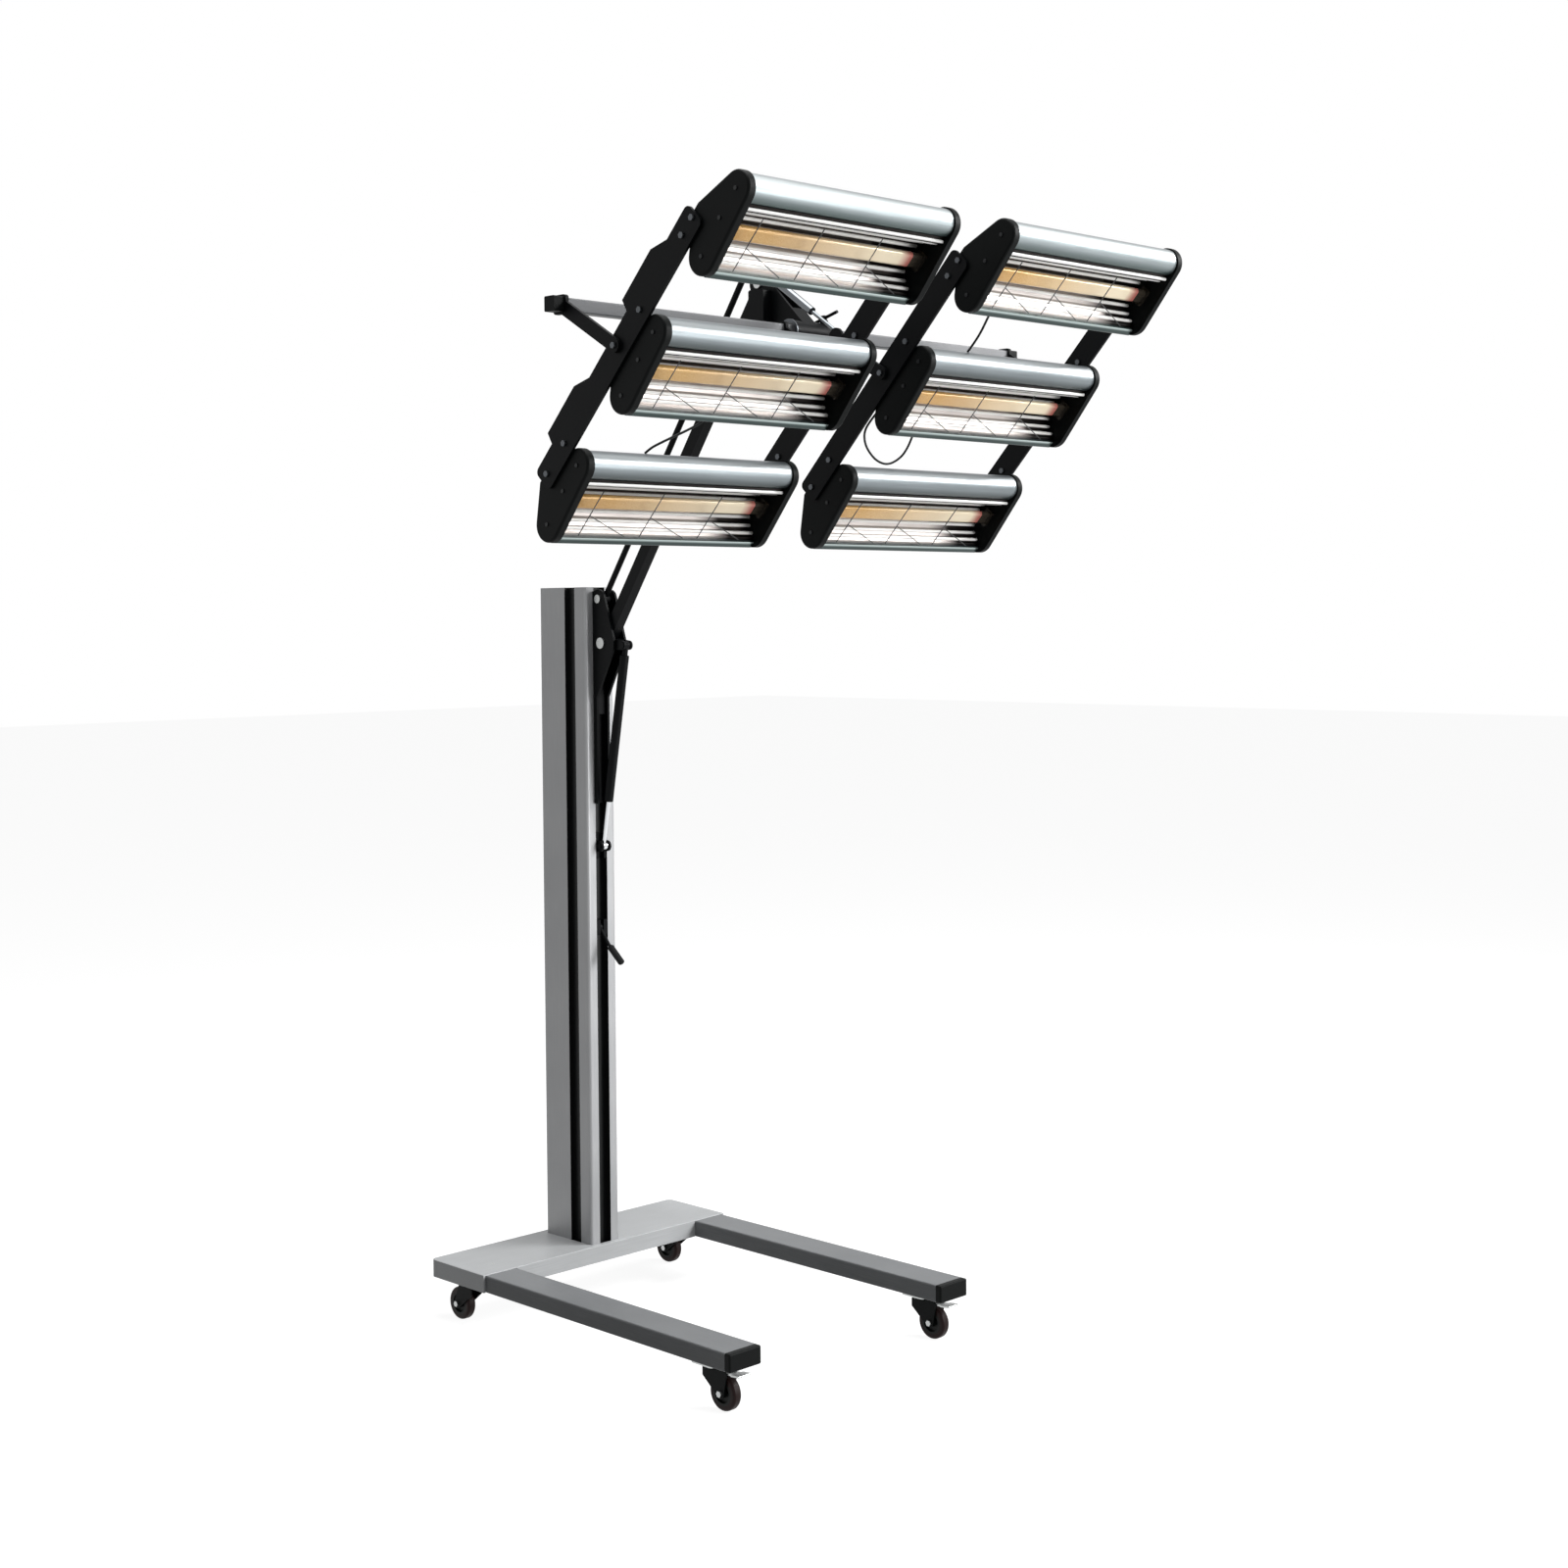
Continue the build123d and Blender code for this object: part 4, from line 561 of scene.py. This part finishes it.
# Silicone sleeve of the lamp cords: smooth and a little glossy.
SLEEVE = Finish("silicone_sleeve", "0e1012", "090b0c", 0.0, 0.5, 0.06, 1.0, Grain.EVEN, 0.02, 0.2)
# Drawn steel wire of the guards, heat-tinted to a dull grey.
WIRE = Finish("drawn_steel_wire", "5c5d5e", "454647", 0.8, 0.3, 0.06, 1.0, Grain.EVEN, 0.004)

NODE_FINISHES: dict[str, Finish] = {
    "rear_beam": POWDER,
    "base_cover": COVER,
    "left_leg": LEG,
    "right_leg": LEG,
    "leg_caps": MOULDED,
    "cover_screws": ZINC,
    "column": COLUMN,
    "arm_bracket": POWDER,
    "bracket_pins": ZINC,
    "slot_lugs": POWDER,
    "release_lever": POWDER,
    "lever_grip": GRIP,
    "main_link": POWDER,
    "ear_bolt": POWDER,
    "rear_link": POWDER,
    "strut_cylinder": POWDER,
    "strut_rod": CHROME,
    "head_bracket": POWDER,
    "head_pins": ZINC,
    "bearing_bushes": DULL_ZINC,
    "clamp_handle": POWDER,
    "tilt_cylinder": DARK_CHROME,
    "tilt_rod": DARK_CHROME,
    "cross_bar": BAR,
    "bar_end_caps": MOULDED,
    "yoke_arms": POWDER,
    "left_outer_rail": POWDER,
    "left_inner_rail": POWDER,
    "right_inner_rail": POWDER,
    "right_outer_rail": POWDER,
    "rail_bolts": DULL_ZINC,
    "lamp_cords": SLEEVE,
    "caster_plates": ZINC,
    "left_reflectors": MIRROR,
    "right_reflectors": MIRROR,
    "left_lamps": QUARTZ,
    "right_lamps": QUARTZ,
    "left_end_caps": MOULDED,
    "right_end_caps": MOULDED,
    "top_left_housing": CASSETTE,
    "top_right_housing": CASSETTE,
    "middle_left_housing": CASSETTE_PAINTED_SHADE,
    "middle_right_housing": CASSETTE_PAINTED_SHADE,
    "bottom_left_housing": CASSETTE_PAINTED_SHADE,
    "bottom_right_housing": CASSETTE_PAINTED_SHADE,
}

# Each cord's depth behind the head's centre and its points across and up from it, in mm
CORD_ROUTES: dict[str, tuple[float, tuple[tuple[float, float], ...]]] = {
    "upper_cord": (
        -50.0,
        ((222, 250), (222, 235), (228, 200), (236, 165), (238, 135), (236, 108)),
    ),
    "loop_cord": (
        -60.0,
        (
            (97, -76),
            (93, -100),
            (95, -130),
            (118, -160),
            (150, -185),
            (195, -210),
            (238, -218),
            (262, -195),
            (262, -165),
            (252, -132),
            (247, -105),
            (245, -85),
        ),
    ),
    "left_cord": (
        -50.0,
        (
            (-372, -78),
            (-374, -95),
            (-385, -130),
            (-410, -152),
            (-438, -172),
            (-465, -192),
            (-480, -205),
            (-486, -218.5),
        ),
    ),
}


def dress(piece: bpy.types.Object, finish: Finish) -> None:
    """Give every slot of an object one finish.

    Args:
        piece: A node of the frame or a modelled piece.
        finish: What it is made of.
    """
    made = finish.material()
    if not piece.material_slots:
        piece.data.materials.append(made)
    for slot in piece.material_slots:
        slot.material = made


def select(pieces: list[bpy.types.Object]) -> None:
    """Select some objects and nothing else, and make the first one active.

    Args:
        pieces: The objects to select.
    """
    bpy.ops.object.select_all(action="DESELECT")
    for piece in pieces:
        piece.select_set(True)
    bpy.context.view_layer.objects.active = pieces[0]


def settle(piece: bpy.types.Object, name: str, finish: Finish, body: str) -> None:
    """Put a finished piece's place into its mesh, dress it and let it ride.

    Args:
        piece: The modelled object.
        name: Its name in the scene.
        finish: What it is made of.
        body: The moving body that carries it.
    """
    select([piece])
    bpy.ops.object.transform_apply(location=True, rotation=True, scale=True)
    piece.name = name
    piece.data.name = name
    dress(piece, finish)
    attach(piece, body)
    LOG.info("%s: %d faces on %s", name, len(piece.data.polygons), body)


def lay_along_x() -> None:
    """Turn the whole mesh that is being edited from the Z axis onto the X axis."""
    bpy.ops.mesh.select_all(action="SELECT")
    bpy.ops.transform.rotate(value=math.pi / 2, orient_axis="Y", center_override=(0.0, 0.0, 0.0))


def repeat(pattern: bpy.types.Object, places: list[Vector]) -> bpy.types.Object:
    """Copy a pattern to each place, join the copies and drop the pattern.

    Args:
        pattern: The object that was modelled once.
        places: Where its copies go, in metres.

    Returns:
        One object made of all the copies.
    """
    copies = []
    for place in places:
        copy = pattern.copy()
        copy.data = pattern.data.copy()
        copy.location = place
        bpy.context.scene.collection.objects.link(copy)
        copies.append(copy)
    bpy.data.objects.remove(pattern)
    select(copies)
    bpy.ops.object.join()
    return copies[0]


def new_curve(name: str, radius: float, rounding: int, steps: int) -> bpy.types.Curve:
    """Make an empty 3-D curve with a round section.

    Args:
        name: The curve's name.
        radius: Radius of its section, in metres.
        rounding: How finely the section is rounded.
        steps: How finely each span is divided.

    Returns:
        The curve, with no spline yet.
    """
    made = bpy.data.curves.new(name, "CURVE")
    made.dimensions = "3D"
    made.bevel_depth = radius
    made.bevel_resolution = rounding
    made.resolution_u = steps
    return made


def add_spline(made: bpy.types.Curve, kind: str, points: list[Vector]) -> bpy.types.Spline:
    """Add a spline to a curve.

    Args:
        made: The curve that takes it.
        kind: POLY for straight lines or NURBS for a smooth run.
        points: Its control points, in metres.

    Returns:
        The new spline.
    """
    spline = made.splines.new(kind)
    spline.points.add(len(points) - 1)
    for at, point in zip(spline.points, points):
        at.co = (*point, 1.0)
    return spline


@dataclass
class Cassettes:
    """Guard wires, reflector beads and cap screws of the lamp cassettes."""

    length: float = 0.544
    wire: float = 0.0011
    first_leg: float = -0.214
    leg_pitch: float = 0.16
    legs: int = 3
    brace_run: float = 0.12
    brace_top: float = -0.02
    top: float = 0.045
    low: float = -0.072
    depth: float = -0.0035
    bead_radius: float = 0.0036
    bead_gap: float = 0.004
    bead_reach: tuple[float, float] = (0.0568, 0.0508)
    hem_bead: tuple[float, float] = (0.0595, -0.0062)
    screw_radius: float = 0.0042
    screw_height: float = 0.003
    screw_edge: float = 0.0005
    screw_stand: float = 0.0185
    screw_places: tuple[tuple[float, float], ...] = ((0.084, -0.03), (0.02, -0.028), (-0.06, -0.02))

    def build(self) -> None:
        """Model and dress all that the cassettes carry."""
        for side, sign in SIDES.items():
            self.guard(side, sign * BANK_X)
            self.beads(side, sign * BANK_X)
            self.cap_screws(side, sign * BANK_X)

    def guard(self, side: str, centre: float) -> None:
        """Set straight and slanting wires across each mouth of a bank.

        Args:
            side: Name of the bank.
            centre: The bank's middle in x, in metres.
        """
        made = new_curve(f"{side}_guards", self.wire, rounding=1, steps=4)
        for row in ROWS.values():
            for step in range(self.legs):
                x = centre + self.first_leg + step * self.leg_pitch
                leg = ((x, self.low), (x, self.top))
                brace = ((x, self.brace_top), (x + self.brace_run, self.low))
                for ends in (leg, brace):
                    points = [at_head(along, up, self.depth, row) for along, up in ends]
                    add_spline(made, "POLY", points)
        piece = bpy.data.objects.new(f"{side}_guards", made)
        bpy.context.scene.collection.objects.link(piece)
        select([piece])
        bpy.ops.object.convert(target="MESH")
        settle(piece, f"{side}_guards", WIRE, "lamp_head")

    def beads(self, side: str, centre: float) -> None:
        """Lay the beads along the crests of each fluted reflector; their matte white is a painted
        highlight.

        Args:
            side: Name of the bank.
            centre: The bank's middle in x, in metres.
        """
        bpy.ops.object.select_all(action="DESELECT")
        bpy.ops.mesh.primitive_cylinder_add(
            vertices=12,
            radius=self.bead_radius,
            depth=self.length - self.bead_gap,
            end_fill_type="NGON",
        )
        bead = bpy.context.object
        bpy.ops.object.mode_set(mode="EDIT")
        lay_along_x()
        bpy.ops.object.mode_set(mode="OBJECT")
        crests = [self.hem_bead]
        for step in range(FLUTES):
            angle = math.pi * (step + 0.5) / FLUTES
            up = REFLECTOR_MIDDLE - self.bead_reach[0] * math.cos(angle)
            crests.append((up, REFLECTOR_MIDDLE - self.bead_reach[1] * math.sin(angle)))
        places = [at_head(centre, *crest, row) for row in ROWS.values() for crest in crests]
        settle(repeat(bead, places), f"{side}_beads", BEAD_PAINTED_HIGHLIGHT, "lamp_head")

    def cap_screws(self, side: str, centre: float) -> None:
        """Turn one screw head and copy it onto the outer faces of the end caps.

        Args:
            side: Name of the bank.
            centre: The bank's middle in x, in metres.
        """
        bpy.ops.object.select_all(action="DESELECT")
        bpy.ops.mesh.primitive_cylinder_add(
            vertices=20, radius=self.screw_radius, depth=self.screw_height
        )
        screw = bpy.context.object
        bpy.ops.object.mode_set(mode="EDIT")
        bpy.ops.mesh.select_all(action="SELECT")
        bpy.ops.mesh.bevel(offset=self.screw_edge, segments=2, affect="EDGES")
        lay_along_x()
        bpy.ops.object.mode_set(mode="OBJECT")
        places = [
            at_head(centre + end * (self.length / 2 + self.screw_stand), up, out, row)
            for row in ROWS.values()
            for end in SIDES.values()
            for up, out in self.screw_places
        ]
        settle(repeat(screw, places), f"{side}_cap_screws", OXIDE, "lamp_head")


@dataclass
class LampCords:
    """Sleeved cords that loop from cassette to cassette behind the banks."""

    diameter: float = 0.005

    def build(self) -> None:
        """Lay each cord on its route and hide the frame's own cords."""
        for name, (out, route) in CORD_ROUTES.items():
            points = [at_head(x * MM, up * MM, out * MM) for x, up in route]
            made = new_curve(name, self.diameter / 2, rounding=4, steps=12)
            made.use_fill_caps = True
            spline = add_spline(made, "NURBS", points)
            spline.order_u = 3
            spline.use_endpoint_u = True
            piece = bpy.data.objects.new(name, made)
            bpy.context.scene.collection.objects.link(piece)
            dress(piece, SLEEVE)
            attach(piece, "lamp_head")
            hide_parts("lamp_cords")


@dataclass
class Casters:
    """Tyre, fork, axle and pedal finishes of the four casters."""

    side_x: float = 0.323
    front_y: float = -0.811
    rear_y: float = 0.019
    axle_z: float = 0.0375
    trail: float = 0.03

    def build(self) -> None:
        """Dress each caster's wheel, fork, axle and brake pedal."""
        axles = {"front": self.front_y - self.trail, "rear": self.rear_y + self.trail}
        for end, axle_y in axles.items():
            for side, sign in SIDES.items():
                name = f"{end}_{side}"
                # Cast polyurethane tyre, dark red-brown and half matte, on a moulded hub.
                tyre = CasterTyre(
                    f"{name}_tyre",
                    "1c0605",
                    "120403",
                    0.0,
                    0.45,
                    0.08,
                    1.5,
                    Grain.EVEN,
                    0.03,
                    0.15,
                    centre=(sign * self.side_x, axle_y, self.axle_z),
                )
                dress(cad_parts[f"{name}_wheel"], tyre)
                dress(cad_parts[f"{name}_fork"], MOULDED)
                dress(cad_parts[f"{name}_axle"], ZINC)
                if end == "front":
                    dress(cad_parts[f"{name}_brake_pedal"], ZINC)
                LOG.info("%s caster dressed", name)


@dataclass(frozen=True)
class SoftLight:
    """A round area light that looks at one point."""

    name: str
    place: Place
    aim: Place
    size: float
    power: float

    def hang(self) -> None:
        """Put the light into the scene."""
        made = bpy.data.lights.new(self.name, "AREA")
        made.shape = "DISK"
        made.size = self.size
        made.energy = self.power
        lamp = bpy.data.objects.new(self.name, made)
        lamp.location = self.place
        look = Vector(self.aim) - Vector(self.place)
        lamp.rotation_euler = look.to_track_quat("-Z", "Y").to_euler()
        bpy.context.scene.collection.objects.link(lamp)


# The key stands front right, a wide fill hangs above and a low fill stands in front
LIGHTS = (
    SoftLight("key", (3.2, -3.4, 3.6), (0.0, -0.4, 1.3), 2.2, 230.0),
    SoftLight("top_fill", (-0.2, -0.8, 5.2), (0.0, -0.5, 0.5), 3.0, 140.0),
    SoftLight("front_fill", (1.6, -4.6, 1.3), (0.0, -0.2, 0.6), 1.8, 110.0),
)


@dataclass
class Studio:
    """Pale floor, soft lights and the camera of the photograph."""

    floor_size: float = 60.0
    floor_drop: float = 0.0005
    floor_grey: str = "8c8c8c"
    floor_glow: float = 0.92
    world_light: float = 0.12
    place: Place = (-3.4874, -4.2010, 1.6232)
    azimuth: float = -44.9137
    elevation: float = 1.7101
    roll: float = -0.0082
    focal_px: float = 2317.5
    frame_px: float = 1600.0
    centre_px: tuple[float, float] = (800.0, 700.0)
    sensor_mm: float = 36.0
    view_reach: float = 200.0

    def build(self) -> None:
        """Set the stage."""
        self.floor()
        self.world()
        for light in LIGHTS:
            light.hang()
        self.camera()

    def floor(self) -> None:
        """Lay a wide pale floor that keeps the object's shadow."""
        bpy.ops.object.select_all(action="DESELECT")
        bpy.ops.mesh.primitive_plane_add(
            size=self.floor_size, location=(0.0, 0.0, -self.floor_drop)
        )
        floor = bpy.context.object
        floor.name = "studio_floor"
        made = bpy.data.materials.new("pale_studio_floor")
        made.use_nodes = True
        tree = made.node_tree
        tree.nodes.clear()
        seen = seen_directly(tree)
        grey = add_node(
            tree, "ShaderNodeBsdfDiffuse", inputs={"Color": linear(self.floor_grey)}
        ).outputs[0]
        glow = add_node(
            tree,
            "ShaderNodeEmission",
            inputs={"Color": linear(WHITE), "Strength": self.floor_glow},
        ).outputs[0]
        lit = add_node(tree, "ShaderNodeAddShader", inputs={0: grey, 1: glow}).outputs[0]
        mix = add_node(tree, "ShaderNodeMixShader", inputs={0: seen, 1: grey, 2: lit})
        add_node(tree, "ShaderNodeOutputMaterial", inputs={"Surface": mix.outputs[0]})
        floor.data.materials.append(made)

    def world(self) -> None:
        """Show white behind the object and light it at a plain level."""
        world = bpy.data.worlds.new("studio")
        bpy.context.scene.world = world
        world.use_nodes = True
        tree = world.node_tree
        tree.nodes.clear()
        seen = seen_directly(tree)
        dim, white = (
            add_node(
                tree, "ShaderNodeBackground", inputs={"Color": linear(WHITE), "Strength": strength}
            ).outputs[0]
            for strength in (self.world_light, 1.0)
        )
        mix = add_node(tree, "ShaderNodeMixShader", inputs={0: seen, 1: dim, 2: white})
        add_node(tree, "ShaderNodeOutputWorld", inputs={"Surface": mix.outputs[0]})

    def camera(self) -> None:
        """Stand the camera where the photograph's camera stood."""
        turn = math.radians(self.azimuth)
        lift = math.radians(self.elevation)
        back = Vector(
            (math.sin(turn) * math.cos(lift), -math.cos(turn) * math.cos(lift), math.sin(lift))
        )
        right = Vector((math.cos(turn), math.sin(turn), 0.0))
        up = back.cross(right)
        level_right = right * math.cos(self.roll) + up * math.sin(self.roll)
        level_up = up * math.cos(self.roll) - right * math.sin(self.roll)
        made = bpy.data.cameras.new("camera")
        made.sensor_width = self.sensor_mm
        made.sensor_fit = "HORIZONTAL"
        made.lens = self.focal_px * made.sensor_width / self.frame_px
        made.shift_x = (self.frame_px / 2 - self.centre_px[0]) / self.frame_px
        made.shift_y = (self.centre_px[1] - self.frame_px / 2) / self.frame_px
        made.clip_end = self.view_reach
        eye = bpy.data.objects.new("camera", made)
        turned = Matrix((level_right, level_up, back)).transposed().to_4x4()
        eye.matrix_world = Matrix.Translation(self.place) @ turned
        bpy.context.scene.collection.objects.link(eye)
        bpy.context.scene.camera = eye
        bpy.context.scene.view_settings.view_transform = "Standard"


def dress_frame() -> None:
    """Give every node of the fixed frame its finish; the casters' nodes follow later."""
    for name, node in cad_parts.items():
        if name in NODE_FINISHES:
            dress(node, NODE_FINISHES[name])
            LOG.info("%s dressed", name)


def main() -> None:
    """Build the looks in order."""
    dress_frame()
    Cassettes().build()
    LampCords().build()
    Casters().build()
    Studio().build()


if __name__ == "__main__":
    main()
